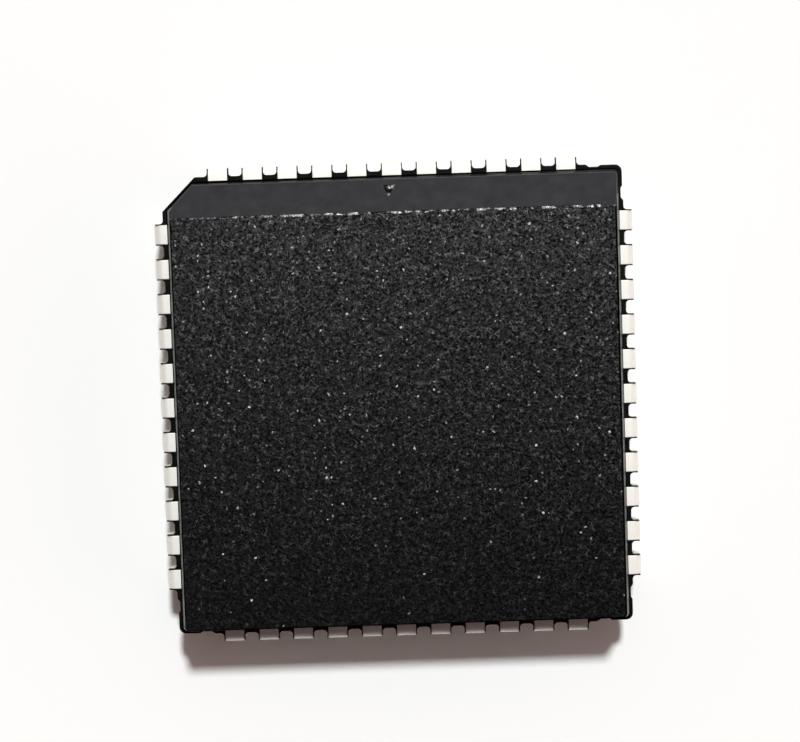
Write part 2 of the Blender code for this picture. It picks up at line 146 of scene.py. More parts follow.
def mix_colors(tree, share, first, second):
    """Return a colour between two, by a share from 0 to 1."""
    inputs = {"Factor": share}
    for name, value in (("A", first), ("B", second)):
        inputs[name] = value if isinstance(value, bpy.types.NodeSocket) else (*value, 1.0)
    return add_result(tree, "ShaderNodeMix", inputs, data_type="RGBA")


def side_turn(side):
    """Return the turn from the +Y side's frame to another side's."""
    return Matrix.Rotation(side * 2 * math.pi / SIDES, 4, "Z")


def new_object(name, data):
    """Put a mesh or a curve into the scene."""
    obj = bpy.data.objects.new(name, data)
    bpy.context.scene.collection.objects.link(obj)
    return obj


def plain_mesh(obj, name):
    """Return what an object looks like with its modifiers as a mesh of its own."""
    bpy.context.view_layer.update()
    graph = bpy.context.evaluated_depsgraph_get()
    mesh = bpy.data.meshes.new_from_object(obj.evaluated_get(graph))
    mesh.name = name
    return mesh

# %% [markdown]
# ## Camera
#
# The photograph was taken by hand from nearly straight above, so the picture is turned a
# little and the package is seen slightly more from its chamfered side. The camera's place,
# its target and its lens were found by matching the 44 leads of the model to the picture.
# From close by the top of a body hides its own side walls, and from far away they come
# into view, so the distance and the lens have to be found together.

# %% Set up the camera
CAMERA_PLACE = Vector((0.39, 7.58, 90.0)) * MM
CAMERA_TARGET = Vector((0.07, 1.08, 2.50)) * MM
CAMERA_ROLL = math.radians(1.858)
CAMERA_LENS = 107.5
NEAR_LIMIT = 1.0 * MM

camera_data = bpy.data.cameras.new("photo_camera")
camera_data.sensor_width = 36.0
camera_data.lens = CAMERA_LENS
camera_data.clip_start = NEAR_LIMIT
camera = new_object("photo_camera", camera_data)

backward = (CAMERA_PLACE - CAMERA_TARGET).normalized()
upward = Vector((math.sin(CAMERA_ROLL), math.cos(CAMERA_ROLL), 0.0))
rightward = upward.cross(backward).normalized()
upward = backward.cross(rightward)
camera.matrix_world = Matrix((
    (rightward.x, upward.x, backward.x, CAMERA_PLACE.x),
    (rightward.y, upward.y, backward.y, CAMERA_PLACE.y),
    (rightward.z, upward.z, backward.z, CAMERA_PLACE.z),
    (0.0, 0.0, 0.0, 1.0)))
bpy.context.scene.camera = camera
bpy.context.scene.view_settings.view_transform = "Standard"
print(f"camera {CAMERA_PLACE.z / MM:.0f} mm above the table, lens {CAMERA_LENS} mm")

# %% [markdown]
# ## Table and light
#
# One strong light stands behind the package and a little to its right. How far the shadow
# reaches past the package, set against the package's height, gives the light's direction.
# A sun lamp keeps that direction everywhere, and its angle softens the shadow's edge.
#
# The sun alone would leave the shadow black and the metal with nothing to mirror. So the
# world is painted as a room whose brightness depends on where one looks: pale walls to the
# left, to the right and behind, a dark wall on the viewer's side, a dim and warm ceiling,
# and a faint glow round the light. The walls are warm above and grey below, so the light
# that falls into the shadow is warm, but black resin that mirrors them at a low angle
# stays black. In a direction, X and Y say which wall is met, and Z says how high.

# %% Lay the table
TABLE_SIZE = 1.2
PAPER_WHITE = (0.99, 0.99, 0.985, 1.0)

bm = bmesh.new()
bmesh.ops.create_grid(bm, x_segments=1, y_segments=1, size=TABLE_SIZE / 2)
table_mesh = bpy.data.meshes.new("table")
bm.to_mesh(table_mesh)
bm.free()
table = new_object("table", table_mesh)

paper = bpy.data.materials.new("white_table")
paper.use_nodes = True
paper_shader = paper.node_tree.nodes["Principled BSDF"]
paper_shader.inputs["Base Color"].default_value = PAPER_WHITE
paper_shader.inputs["Roughness"].default_value = 0.9
paper_shader.inputs["Specular IOR Level"].default_value = 0.0
table_mesh.materials.append(paper)
print(f"table {TABLE_SIZE} m wide")

# %% Hang the light
SHADOW_SIDEWAYS = 0.085
SHADOW_FORWARD = 0.54
SUN_STRENGTH = 2.87
SUN_ANGLE = math.radians(5.4)

sun_data = bpy.data.lights.new("key_light", "SUN")
sun_data.energy = SUN_STRENGTH
sun_data.angle = SUN_ANGLE
sun_data.color = (0.955, 1.0, 1.0)
sun = new_object("key_light", sun_data)
toward_light = Vector((SHADOW_SIDEWAYS, SHADOW_FORWARD, 1.0))
sun.rotation_mode = "QUATERNION"
sun.rotation_quaternion = toward_light.to_track_quat("Z", "Y")
print(f"light {math.degrees(toward_light.angle(Vector((0, 0, 1)))):.1f} degrees off the vertical")

# %% Choose the room's colours and the places where they meet
WEST_WALL = (0.83, 0.51, 0.44)
EAST_WALL = (0.93, 0.575, 0.51)
NORTH_WALL = (0.52, 0.355, 0.318)
SOUTH_WALL = (0.034, 0.024, 0.023)
CEILING = (0.038, 0.027, 0.025)
GLOW = (0.57, 0.52, 0.50)
GLOW_EDGE = math.radians(34)
LEAST_TINT = 0.15

# The walls run into each other between two values of a level direction's X or Y, and into
# the ceiling between two values of the direction's Z.
WEST_TO_EAST = (-0.7, 0.7)
TO_NORTH = (0.3, 0.9)
TO_SOUTH = (-0.05, -0.60)
SOUTH_SLANT = 0.5
GREY_TO_WARM = (0.22, 0.45)
WALL_TO_CEILING = (0.45, 0.80)
print(f"glow reaches {math.degrees(GLOW_EDGE):.0f} degrees round the light")

# %% Find out where a ray of the world points
room = bpy.data.worlds.new("room")
bpy.context.scene.world = room
room.use_nodes = True
room_tree = room.node_tree
room_tree.nodes.clear()

# In a world's tree, Generated is the direction in which a ray leaves the scene.
direction = add_node(room_tree, "ShaderNodeTexCoord").outputs["Generated"]
compass = add_node(room_tree, "ShaderNodeSeparateXYZ", {0: direction}).outputs
level = add_result(room_tree, "ShaderNodeCombineXYZ", {"X": compass["X"], "Y": compass["Y"]})
level = add_result(room_tree, "ShaderNodeVectorMath", {0: level}, operation="NORMALIZE")
level = add_node(room_tree, "ShaderNodeSeparateXYZ", {0: level}).outputs

# %% Paint the room
eastward = blend_range(room_tree, level["X"], *WEST_TO_EAST, 0.0, 1.0, smooth=True)
northward = blend_range(room_tree, level["Y"], *TO_NORTH, 0.0, 1.0, smooth=True)
slanted = calculate(room_tree, "MULTIPLY_ADD", level["X"], SOUTH_SLANT, level["Y"])
southward = blend_range(room_tree, slanted, *TO_SOUTH, 0.0, 1.0, smooth=True)
wall = mix_colors(room_tree, eastward, WEST_WALL, EAST_WALL)
wall = mix_colors(room_tree, northward, wall, NORTH_WALL)
wall = mix_colors(room_tree, southward, wall, SOUTH_WALL)
tint = blend_range(room_tree, compass["Z"], *GREY_TO_WARM, LEAST_TINT, 1.0, smooth=True)
grey_wall = add_result(room_tree, "ShaderNodeRGBToBW", {0: wall})
wall = mix_colors(room_tree, tint, grey_wall, wall)
overhead = blend_range(room_tree, compass["Z"], *WALL_TO_CEILING, 0.0, 1.0, smooth=True)
room_color = mix_colors(room_tree, overhead, wall, CEILING)
both_directions = {0: direction, 1: toward_light.normalized()}
near_light = add_node(room_tree, "ShaderNodeVectorMath", both_directions,
                      operation="DOT_PRODUCT").outputs["Value"]
glow = blend_range(room_tree, near_light, math.cos(GLOW_EDGE), 1.0, 0.0, 1.0)
room_color = mix_colors(room_tree, glow, room_color, GLOW)
room_shade = add_result(room_tree, "ShaderNodeBackground", {"Color": room_color})
add_node(room_tree, "ShaderNodeOutputWorld", {"Surface": room_shade})
print(f"room: {len(room_tree.nodes)} nodes")

# %% [markdown]
# ## Finishes
#
# Every finish is a Principled material with a pattern on Object coordinates, which are
# metres here, so a pattern's size is a real size. The plain numbers go straight into the
# shader's own sockets, and only what varies over the surface comes through nodes.
#
# A soft pattern is a Noise Texture. Most of its values lie between 0.3 and 0.7, so a
# blend over a part of that range sets how much of the surface the pattern covers. Grains
# are the cells of a Voronoi Texture, of which only some are kept, and bending the place
# that the texture reads gives them uneven shapes. A pattern that is stronger in one part
# of the object is multiplied by a value that runs along an axis.
#
# Each finish also starts with one plain colour, for programs that can't read the nodes.

# %% Start a finish
def new_finish(name, color, roughness, metallic=0.0, specular=0.5):
    """Return a Principled material, its node tree and its shader."""
    print("finish:", name)
    material = bpy.data.materials.new(name)
    material.use_nodes = True
    shader = material.node_tree.nodes["Principled BSDF"]
    shader.inputs["Base Color"].default_value = (*color, 1.0)
    shader.inputs["Roughness"].default_value = roughness
    shader.inputs["Metallic"].default_value = metallic
    shader.inputs["Specular IOR Level"].default_value = specular
    return material, material.node_tree, shader


def object_place(tree):
    """Return the place on the object, in metres."""
    return add_node(tree, "ShaderNodeTexCoord").outputs["Object"]


def blots(tree, size, detail=2.0, roughness=0.5):
    """Return soft noise from 0 to 1 with blots about as wide as the given size."""
    inputs = {"Vector": object_place(tree), "Scale": 1 / size,
              "Detail": detail, "Roughness": roughness}
    return add_result(tree, "ShaderNodeTexNoise", inputs)


GRAIN_CORE = 0.4
BENDS_PER_CELL = 2


def grains(tree, size, radius, share, bend=0.0):
    """Return grains of random strength, one to a cell, in the given share of the cells."""
    inputs = {"Vector": object_place(tree), "Scale": BENDS_PER_CELL / size,
              "Detail": 1.0}
    wobble = add_node(tree, "ShaderNodeTexNoise", inputs).outputs["Color"]
    inputs = {0: wobble, 1: (bend, bend, bend), 2: object_place(tree)}
    place = add_result(tree, "ShaderNodeVectorMath", inputs, operation="MULTIPLY_ADD")
    cells = add_node(tree, "ShaderNodeTexVoronoi", {"Vector": place, "Scale": 1 / size})
    random = add_node(tree, "ShaderNodeSeparateColor", {0: cells.outputs["Color"]}).outputs
    kept = calculate(tree, "LESS_THAN", random[0], share)
    shape = blend_range(tree, cells.outputs["Distance"], radius * GRAIN_CORE, radius, 1.0, 0.0)
    return calculate(tree, "MULTIPLY", calculate(tree, "MULTIPLY", kept, random[1]), shape)


def along_axis(tree, axis, start, end, first, last):
    """Return a value that runs from first to last between two places along one axis."""
    place = add_node(tree, "ShaderNodeSeparateXYZ", {0: object_place(tree)}).outputs[axis]
    return blend_range(tree, place, start, end, first, last)


def color_finish(tree, shader, share, first, second):
    """Let the finish's colour run between two by a share."""
    tree.links.new(mix_colors(tree, share, first, second), shader.inputs["Base Color"])


def roughen(tree, shader, height, depth):
    """Raise the surface by a pattern of the given depth, as the light sees it."""
    inputs = {"Height": height, "Distance": depth, "Strength": 1.0}
    tree.links.new(add_result(tree, "ShaderNodeBump", inputs), shader.inputs["Normal"])


def vary_gloss(tree, shader, level):
    """Let the strength of the reflection vary."""
    tree.links.new(level, shader.inputs["Specular IOR Level"])

# %% [markdown]
# ## The top face
#
# The carrier is moulded from black epoxy that is filled with glassy grains. Over the top
# face the steel of the mould was eroded by sparks. That leaves overlapping craters about a
# tenth of a millimetre wide, and the resin copies them. A picture of such a surface would
# have to be very large to stay sharp, while noise is sharp at any size:
#
# - one noise raises the bumps,
# - where another noise crosses its middle value, it gives thin strokes like worms, which
#   are pale filler in part and a painted highlight in part,
# - bent grains, of which few are strong, give the glints, painted as highlights into the
#   colour,
# - a fine noise makes the gloss patchy.
#
# The far side of the face catches more light, so the painted glints and strokes are
# painted brighter and more often there, and the gloss grows along Y as well.

# %% Spark-eroded resin of the top face
NEAR_SIDE = -8 * MM
FAR_SIDE = 7 * MM
SPARK_GRAIN = 0.13 * MM
SPARK_DEPTH = 0.009 * MM
STROKE_BEND = 0.15 * MM
STROKE_WIDTH = 0.045
STROKE_SPOT = 0.21 * MM
GLINT_CELL = 0.19 * MM
GLINT_RADIUS = 0.30
GLINT_BEND = 0.14 * MM
GLINT_CONTRAST = 2.0
PATCH_WIDTH = 0.085 * MM

sparked_resin, tree, shader = new_finish("resin_sparked", (0.003, 0.003, 0.003), 0.33)
mottle = blots(tree, SPARK_GRAIN, detail=3.0, roughness=0.6)
crossing = calculate(tree, "ABSOLUTE", calculate(tree, "SUBTRACT", blots(tree, STROKE_BEND), 0.5))
strokes = blend_range(tree, crossing, 0.0, STROKE_WIDTH, 1.0, 0.0, smooth=True)
spots = blend_range(tree, blots(tree, STROKE_SPOT, detail=1.0), 0.48, 0.62, 0.0, 1.0)
strokes = calculate(tree, "MULTIPLY", strokes, spots)
# The strokes' colour is pale filler in part and a painted highlight in part, painted brighter
# towards the far side, where more light falls.
painted_stroke_highlight = calculate(tree, "MULTIPLY", strokes,
                        along_axis(tree, "Y", NEAR_SIDE, FAR_SIDE, 0.03, 0.20))
# The glints are painted highlights in the colour, with more of them towards the far side, where
# more light falls.
painted_glint_share = along_axis(tree, "Y", NEAR_SIDE, FAR_SIDE, 0.07, 0.42)
painted_glints = grains(tree, GLINT_CELL, GLINT_RADIUS, painted_glint_share, bend=GLINT_BEND)
painted_glints = calculate(tree, "POWER", painted_glints, GLINT_CONTRAST)
bright = calculate(tree, "MAXIMUM", painted_stroke_highlight, painted_glints)
# Both are painted into the colour, from near black up to a pale grey highlight.
color_finish(tree, shader, bright, (0.0010, 0.0010, 0.0016), (0.75, 0.75, 0.75))

patch = blend_range(tree, blots(tree, PATCH_WIDTH), 0.36, 0.68, 0.0, 1.0)
dull = along_axis(tree, "X", NEAR_SIDE, 4 * MM, 0.10, 0.05)
shiny = along_axis(tree, "Y", NEAR_SIDE, 6 * MM, 0.50, 1.0)
sheen = blend_range(tree, calculate(tree, "MAXIMUM", patch, strokes), 0.0, 1.0, dull, shiny)
vary_gloss(tree, shader, sheen)
roughen(tree, shader, mottle, SPARK_DEPTH)

# %% [markdown]
# ## The chamfer
#
# The steel behind the chamfer was ground and not sparked, so the resin looks like satin
# there. A high roughness alone would do from afar. Here two dark greys drift into each
# other, and bumps too fine to be seen one by one blur the reflections, so the face still
# has a grain in a close view.

# %% Satin resin of the chamfer
CLOUD_WIDTH = 0.5 * MM
GRIND_GRAIN = 0.09 * MM
GRIND_DEPTH = 0.004 * MM

satin_resin, tree, shader = new_finish("resin_satin", (0.018, 0.018, 0.021), 0.42, specular=0.3)
cloud_share = blend_range(tree, blots(tree, CLOUD_WIDTH, detail=4.0), 0.3, 0.7, 0.0, 1.0)
color_finish(tree, shader, cloud_share, (0.010, 0.010, 0.014), (0.022, 0.022, 0.027))
roughen(tree, shader, blots(tree, GRIND_GRAIN, detail=3.0), GRIND_DEPTH)

# %% [markdown]
# ## The walls
#
# The steep walls are nearly black, but a band above the leads shows as a thin grey line
# from above, where the wall catches the light. That line is a painted highlight, in the
# colour and in the gloss. Painting it on the mesh would need an extra loop of edges. The
# shader can find it by itself: the height on the object, with a soft step at the band's
# lower edge and another at its upper edge, gives the band, and large blots break it up
# unevenly. The band slants a little, and the painted light is faint on the side of the cut
# corner and missing on the chamfered side.

# %% Resin of the steep walls, with a band of painted highlight above the leads
BAND_BOTTOM = FRAME_HEIGHT + 0.78 * MM
BAND_TOP = FRAME_HEIGHT + 1.48 * MM
BAND_FADE = 0.20 * MM
BAND_SLANT = 0.022
CHAMFERED_SIDE = (7.15 * MM, 7.35 * MM)
INDEX_SIDE = (-7.9 * MM, -7.5 * MM)
BAND_BLOT_WIDTH = 1.3 * MM
WALL_GRAIN = 0.15 * MM
WALL_DEPTH = 0.006 * MM

wall_resin, tree, shader = new_finish("resin_wall", (0.004, 0.004, 0.004), 0.4, specular=0.05)
place = add_node(tree, "ShaderNodeSeparateXYZ", {0: object_place(tree)}).outputs
height = calculate(tree, "MULTIPLY_ADD", place["X"], BAND_SLANT, place["Z"])
above = blend_range(tree, height, BAND_BOTTOM - BAND_FADE, BAND_BOTTOM, 0.0, 1.0)
below = blend_range(tree, height, BAND_TOP, BAND_TOP + BAND_FADE, 1.0, 0.0)
band_breakup = blend_range(tree, blots(tree, BAND_BLOT_WIDTH, detail=3.0), 0.35, 0.60, 0.25, 0.75)
off_chamfer = along_axis(tree, "Y", *CHAMFERED_SIDE, 1.0, 0.03)
off_index_side = along_axis(tree, "X", *INDEX_SIDE, 0.42, 1.0)
painted_light_band = calculate(tree, "MULTIPLY", calculate(tree, "MULTIPLY", above, below), band_breakup)
painted_light_band = calculate(tree, "MULTIPLY", calculate(tree, "MULTIPLY", painted_light_band, off_chamfer), off_index_side)
# The band's colour and gloss are a painted highlight where the wall catches the light.
color_finish(tree, shader, painted_light_band, (0.002, 0.002, 0.002), (0.012, 0.012, 0.013))
vary_gloss(tree, shader, blend_range(tree, painted_light_band, 0.0, 1.0, 0.0, 0.45))
roughen(tree, shader, blots(tree, WALL_GRAIN), WALL_DEPTH)

# %% [markdown]
# ## The ridge's painted highlight dashes
#
# Where the chamfer meets the top, the edge catches the light in short light dashes. The
# Bevel modifier will turn that edge into a narrow strip of faces, and a strip can have a
# finish of its own. Noise decides where the dashes are painted into its colour and gloss
# as highlights and where it keeps its black skin, deep dents break up its reflections, and
# the painted dashes grow fainter towards the cut corner.

# %% Resin of the ridge between the chamfer and the top, with painted highlight dashes
DASH_WIDTH = 0.30 * MM
DASHES_GROW = (-7 * MM, -2 * MM)
RIDGE_GRAIN = 0.16 * MM
RIDGE_DEPTH = 0.055 * MM

ridge_resin, tree, shader = new_finish("resin_ridge", (0.010, 0.010, 0.011), 0.3, specular=1.0)
painted_dashes = blend_range(tree, blots(tree, DASH_WIDTH, detail=1.0), 0.47, 0.56, 0.0, 1.0)
dash_strength = along_axis(tree, "X", *DASHES_GROW, 0.15, 1.0)
painted_dashes = calculate(tree, "MULTIPLY", painted_dashes, dash_strength)
# The dashes are painted highlights: they lift the colour and the gloss.
color_finish(tree, shader, painted_dashes, (0.003, 0.003, 0.003), (0.10, 0.10, 0.10))
vary_gloss(tree, shader, blend_range(tree, painted_dashes, 0.0, 1.0, 0.1, 1.0))
roughen(tree, shader, blots(tree, RIDGE_GRAIN), RIDGE_DEPTH)

# %% [markdown]
# ## Resin without filler
#
# The thin resin that squeezed out between the leads left its filler behind, so it is
# smoother and darker than the rest. It gets its own finish with little contrast, because a
# film that thin shows hardly anything but its outline.

# %% Clear resin that squeezed out at the parting line
FILM_BLOT = 0.25 * MM
FILM_GRAIN = 0.08 * MM
FILM_DEPTH = 0.002 * MM

flash_resin, tree, shader = new_finish("resin_flash", (0.004, 0.004, 0.004), 0.25, specular=0.2)
film_share = blend_range(tree, blots(tree, FILM_BLOT), 0.35, 0.65, 0.0, 1.0)
color_finish(tree, shader, film_share, (0.002, 0.002, 0.002), (0.006, 0.005, 0.005))
roughen(tree, shader, blots(tree, FILM_GRAIN), FILM_DEPTH)

# %% [markdown]
# ## The metals
#
# The tin on the leads is matt and milky: part mirror, part white powder. A Metallic value
# between 0 and 1 is seldom right, but it is the simple way to such a skin, and it lets the
# near leads stay dark in the shadow, where they have nothing bright to mirror. Soft blots
# of tarnish change the colour and the roughness together. The copper alloy of the fingers
# and the gold of the bond wires stay clean inside the resin and are fully metallic.

# %% Tin, copper alloy and gold
TARNISH_WIDTH = 0.22 * MM
CRYSTAL_WIDTH = 0.3 * MM
DRAWN_WIDTH = 0.04 * MM
METAL_GRAIN = 0.05 * MM
TIN_DEPTH = 0.0015 * MM
COPPER_DEPTH = 0.002 * MM

tin, tree, shader = new_finish("bright_tin", (0.94, 0.92, 0.87), 0.6, metallic=0.38)
tarnish = blend_range(tree, blots(tree, TARNISH_WIDTH, detail=4.0), 0.3, 0.75, 0.0, 1.0)
color_finish(tree, shader, tarnish, (0.95, 0.935, 0.88), (0.90, 0.88, 0.82))
tree.links.new(blend_range(tree, tarnish, 0.0, 1.0, 0.60, 0.66), shader.inputs["Roughness"])
roughen(tree, shader, blots(tree, METAL_GRAIN, detail=3.0), TIN_DEPTH)

copper, tree, shader = new_finish("bare_copper", (0.62, 0.34, 0.20), 0.35, metallic=1.0)
crystal_share = blend_range(tree, blots(tree, CRYSTAL_WIDTH, detail=3.0), 0.3, 0.7, 0.0, 1.0)
color_finish(tree, shader, crystal_share, (0.64, 0.36, 0.22), (0.55, 0.29, 0.17))
roughen(tree, shader, blots(tree, METAL_GRAIN), COPPER_DEPTH)

gold, tree, shader = new_finish("gold_wire", (0.90, 0.66, 0.28), 0.22, metallic=1.0)
drawn_share = blend_range(tree, blots(tree, DRAWN_WIDTH), 0.3, 0.7, 0.0, 1.0)
color_finish(tree, shader, drawn_share, (0.92, 0.68, 0.30), (0.84, 0.60, 0.24))

# %% [markdown]
# ## Glue and silicon
#
# The chip is glued down with epoxy full of silver flakes, which are grains once more. The
# face of the chip is divided into fields of circuits, and each field has its own tint. A
# Brick Texture draws such fields in one node, which is enough for a piece that the resin
# hides.

# %% Silver glue and silicon
FLAKE_CELL = 0.05 * MM
FLAKE_RADIUS = 0.5
FLAKE_SHARE = 0.6
FLAKE_DEPTH = 0.003 * MM
FIELD_GAP = 0.03

glue, tree, shader = new_finish("silver_glue", (0.55, 0.55, 0.53), 0.6, metallic=0.3)
flakes = grains(tree, FLAKE_CELL, FLAKE_RADIUS, FLAKE_SHARE)
color_finish(tree, shader, flakes, (0.45, 0.45, 0.43), (0.78, 0.78, 0.76))
roughen(tree, shader, flakes, FLAKE_DEPTH)

silicon, tree, shader = new_finish("silicon_chip", (0.20, 0.22, 0.26), 0.2, metallic=0.4)
fields = add_result(tree, "ShaderNodeTexBrick", {
    "Vector": object_place(tree), "Scale": 1 / MM, "Color1": (0.16, 0.19, 0.24, 1.0),
    "Color2": (0.24, 0.22, 0.28, 1.0), "Mortar": (0.34, 0.33, 0.34, 1.0), "Mortar Size": FIELD_GAP})
tree.links.new(fields, shader.inputs["Base Color"])
print("materials:", len(bpy.data.materials))

# %% [markdown]
# ## Helpers for Geometry Nodes
#
# The carrier repeats itself: eleven leads, ten openings and eleven pockets on each side,
# and four equal sides. A tree for such a row always does the same. It makes one piece in
# the middle of the +Y side, copies it along X, and turns the row to all four sides. The
# copies are instances, which cost nothing while the tree works, and Realize Instances
# makes them real at the end, because an exported file holds only real faces.

# %% Start a tree, and give its inputs their values
INPUT_KINDS = {float: "NodeSocketFloat", int: "NodeSocketInt"}


def new_tree(name, sizes):
    """Start a geometry tree, and return it with a named input for each size."""
    tree = bpy.data.node_groups.new(name, "GeometryNodeTree")
    tree.interface.new_socket("Geometry", in_out="INPUT", socket_type="NodeSocketGeometry")
    tree.interface.new_socket("Geometry", in_out="OUTPUT", socket_type="NodeSocketGeometry")
    for label, value in sizes.items():
        tree.interface.new_socket(label, in_out="INPUT", socket_type=INPUT_KINDS[type(value)])
    return tree, add_node(tree, "NodeGroupInput").outputs


def grow_mesh(obj, tree, sizes, name):
    """Run a geometry tree on an object with these sizes, and return a plain mesh."""
    modifier = obj.modifiers.new(tree.name, "NODES")
    modifier.node_group = tree
    for item in tree.interface.items_tree:
        if item.name in sizes:
            modifier[item.identifier] = sizes[item.name]
    mesh = plain_mesh(obj, name)
    obj.modifiers.clear()
    print(f"{name}: {len(mesh.polygons)} faces")
    return mesh

# %% Rows of equal pieces
def place_of(tree):
    """Return X, Y and Z of whatever point the tree is looking at."""
    position = add_result(tree, "GeometryNodeInputPosition")
    return add_node(tree, "ShaderNodeSeparateXYZ", {0: position}).outputs


def realize(tree, geometry):
    """Make instances real."""
    return add_result(tree, "GeometryNodeRealizeInstances", {0: geometry})


def lay_in_row(tree, piece, count, pitch):
    """Copy a piece along X, and keep each copy's place in the row in an attribute."""
    steps = calculate(tree, "SUBTRACT", count, 1.0)
    row = calculate(tree, "MULTIPLY", steps, pitch)
    first = add_result(tree, "ShaderNodeCombineXYZ", {"X": calculate(tree, "MULTIPLY", row, -0.5)})
    step = add_result(tree, "ShaderNodeCombineXYZ", {"X": pitch})
    points = add_result(tree, "GeometryNodeMeshLine", {
        "Count": count, "Start Location": first, "Offset": step})
    marked = add_result(tree, "GeometryNodeStoreNamedAttribute", {
        "Geometry": points, "Name": "row_place", "Value": place_of(tree)["X"]})
    copies = add_result(tree, "GeometryNodeInstanceOnPoints", {
        "Points": marked, "Instance": piece})
    return realize(tree, copies)


def turn_to_sides(tree, row):
    """Copy a row to all four sides of the body, and finish it."""
    points = add_result(tree, "GeometryNodeMeshLine", {"Count": SIDES, "Offset": (0.0, 0.0, 0.0)})
    number = add_result(tree, "GeometryNodeInputIndex")
    angle = calculate(tree, "MULTIPLY", number, 2 * math.pi / SIDES)
    turn = add_result(tree, "FunctionNodeAxisAngleToRotation", {
        "Axis": (0.0, 0.0, 1.0), "Angle": angle})
    copies = add_result(tree, "GeometryNodeInstanceOnPoints", {
        "Points": points, "Instance": row, "Rotation": turn})
    return add_result(tree, "GeometryNodeRemoveAttribute", {
        "Geometry": realize(tree, copies), "Name": "row_place"})


def give_material(tree, geometry, material, where=None):
    """Give a material to all faces or to some."""
    inputs = {"Geometry": geometry, "Material": material}
    if where is not None:
        inputs["Selection"] = where
    return add_result(tree, "GeometryNodeSetMaterial", inputs)


def end_tree(tree, geometry):
    """Hand the geometry to the tree's output."""
    add_node(tree, "NodeGroupOutput", {0: geometry})

# %% [markdown]
# ## The leads
#
# All 44 leads are stamped from one copper sheet and then bent, so a lead is a flat strip
# that follows a line: level out of the body, over a tight bend, straight down, and round a
# wide J whose tip tucks in under the body. It could be modelled once and copied by hand.
# Geometry Nodes do it as the factory does, and each size stays a named input:
#
# 1. the line is drawn with square corners, and Fillet Curve rounds them,
# 2. Curve to Mesh draws a strip with rounded edges along it,
# 3. the strip narrows from the shoulder to the shank,
# 4. a row of eleven is laid out, and the fingers inside the resin fan in to the chip,
# 5. the row is turned to all four sides.
#
# The tin goes on after moulding, so it covers only what stands out of the resin.

# %% Sizes of a lead
SHANK_WIDTH = 0.46 * MM
SHOULDER_DROP = 0.80 * MM
SHANK_TAPER = 0.20 * MM
TAPER_TOP = FRAME_HEIGHT - SHOULDER_DROP
TAPER_BOTTOM = TAPER_TOP - SHANK_TAPER
SHOULDER_BEND = 0.16 * MM
FOOT_BEND = 0.80 * MM
STAMPED_EDGE = 0.035 * MM
FOOT_LEVEL = LEAD_THICKNESS / 2
TIP_RISE = 0.03 * MM
TIP_FLAT = 0.002 * MM
FAN_DEPTH = 0.85 * MM
FAN_START = BODY_HALF - FAN_DEPTH
TIN_INSET = 0.03 * MM
RESIN_WALL = BODY_HALF - TIN_INSET
FINGER_TIP = 3.85 * MM
FINGER_TIP_PITCH = 0.62 * MM
FINGER_TIP_WIDTH = 0.32 * MM
print(f"fingers fan in from {FAN_START / MM:.2f} to {FINGER_TIP / MM:.2f} mm")

# %% Draw the line that a lead follows
def draw_line(name, points):
    """Add an open curve of straight runs in the YZ plane of a side."""
    curve = bpy.data.curves.new(name, "CURVE")
    curve.dimensions = "3D"
    spline = curve.splines.new("POLY")
    spline.points.add(len(points) - 1)
    for point, (y, z) in zip(spline.points, points):
        point.co = (0.0, y, z, 1.0)
    return new_object(name, curve)


TIP_PLACE = LEAD_MIDDLE - 2 * FOOT_BEND - TIP_FLAT
TIP_TOP = FOOT_LEVEL + FOOT_BEND + TIP_RISE
lead_points = [
    (FINGER_TIP, FRAME_HEIGHT), (FAN_START, FRAME_HEIGHT), (RESIN_WALL, FRAME_HEIGHT),
    (LEAD_MIDDLE, FRAME_HEIGHT), (LEAD_MIDDLE, TAPER_TOP), (LEAD_MIDDLE, TAPER_BOTTOM),
    (LEAD_MIDDLE, FOOT_LEVEL), (TIP_PLACE, FOOT_LEVEL), (TIP_PLACE, TIP_TOP)]
SHOULDER_CORNER = 3
FOOT_CORNER = 6
lead_line = draw_line("lead_line", lead_points)
print(f"lead line: {len(lead_points)} points")

# %% Bend a strip along the line
lead_sizes = {
    "Leads Per Side": LEADS_PER_SIDE, "Pitch": PITCH, "Thickness": LEAD_THICKNESS,
    "Shoulder Width": SHOULDER_WIDTH, "Shank Width": SHANK_WIDTH, "Stamped Edge": STAMPED_EDGE,
    "Shoulder Bend": SHOULDER_BEND, "Foot Bend": FOOT_BEND, "Taper Top": TAPER_TOP,
    "Taper Bottom": TAPER_BOTTOM, "Fan Start": FAN_START, "Finger Tip": FINGER_TIP,
    "Tip Pitch": FINGER_TIP_PITCH, "Tip Width": FINGER_TIP_WIDTH, "Resin Wall": RESIN_WALL}
SHOULDER_STEPS = 5
FOOT_STEPS = 12
EDGE_STEPS = 2


def bent_line(tree, size):
    """Round the corners of the line: the shoulder tightly, the J widely."""
    number = add_result(tree, "GeometryNodeInputIndex")
    at_shoulder = calculate(tree, "COMPARE", number, float(SHOULDER_CORNER), 0.5)
    at_foot = calculate(tree, "GREATER_THAN", number, FOOT_CORNER - 0.5)
    radius = calculate(tree, "ADD", calculate(tree, "MULTIPLY", at_shoulder, size["Shoulder Bend"]),
                       calculate(tree, "MULTIPLY", at_foot, size["Foot Bend"]))
    steps = calculate(tree, "ADD", calculate(tree, "MULTIPLY", at_shoulder, float(SHOULDER_STEPS)),
                      calculate(tree, "MULTIPLY", at_foot, float(FOOT_STEPS)))
    return add_result(tree, "GeometryNodeFilletCurve", {
        "Curve": size["Geometry"], "Count": steps, "Radius": radius}, mode="POLY")


def rounded_outline(tree, width, height, radius, steps):
    """Return a rectangle with rounded corners."""
    outline = add_result(tree, "GeometryNodeCurvePrimitiveQuadrilateral", {
        "Width": width, "Height": height})
    return add_result(tree, "GeometryNodeFilletCurve", {
        "Curve": outline, "Count": steps, "Radius": radius}, mode="POLY")


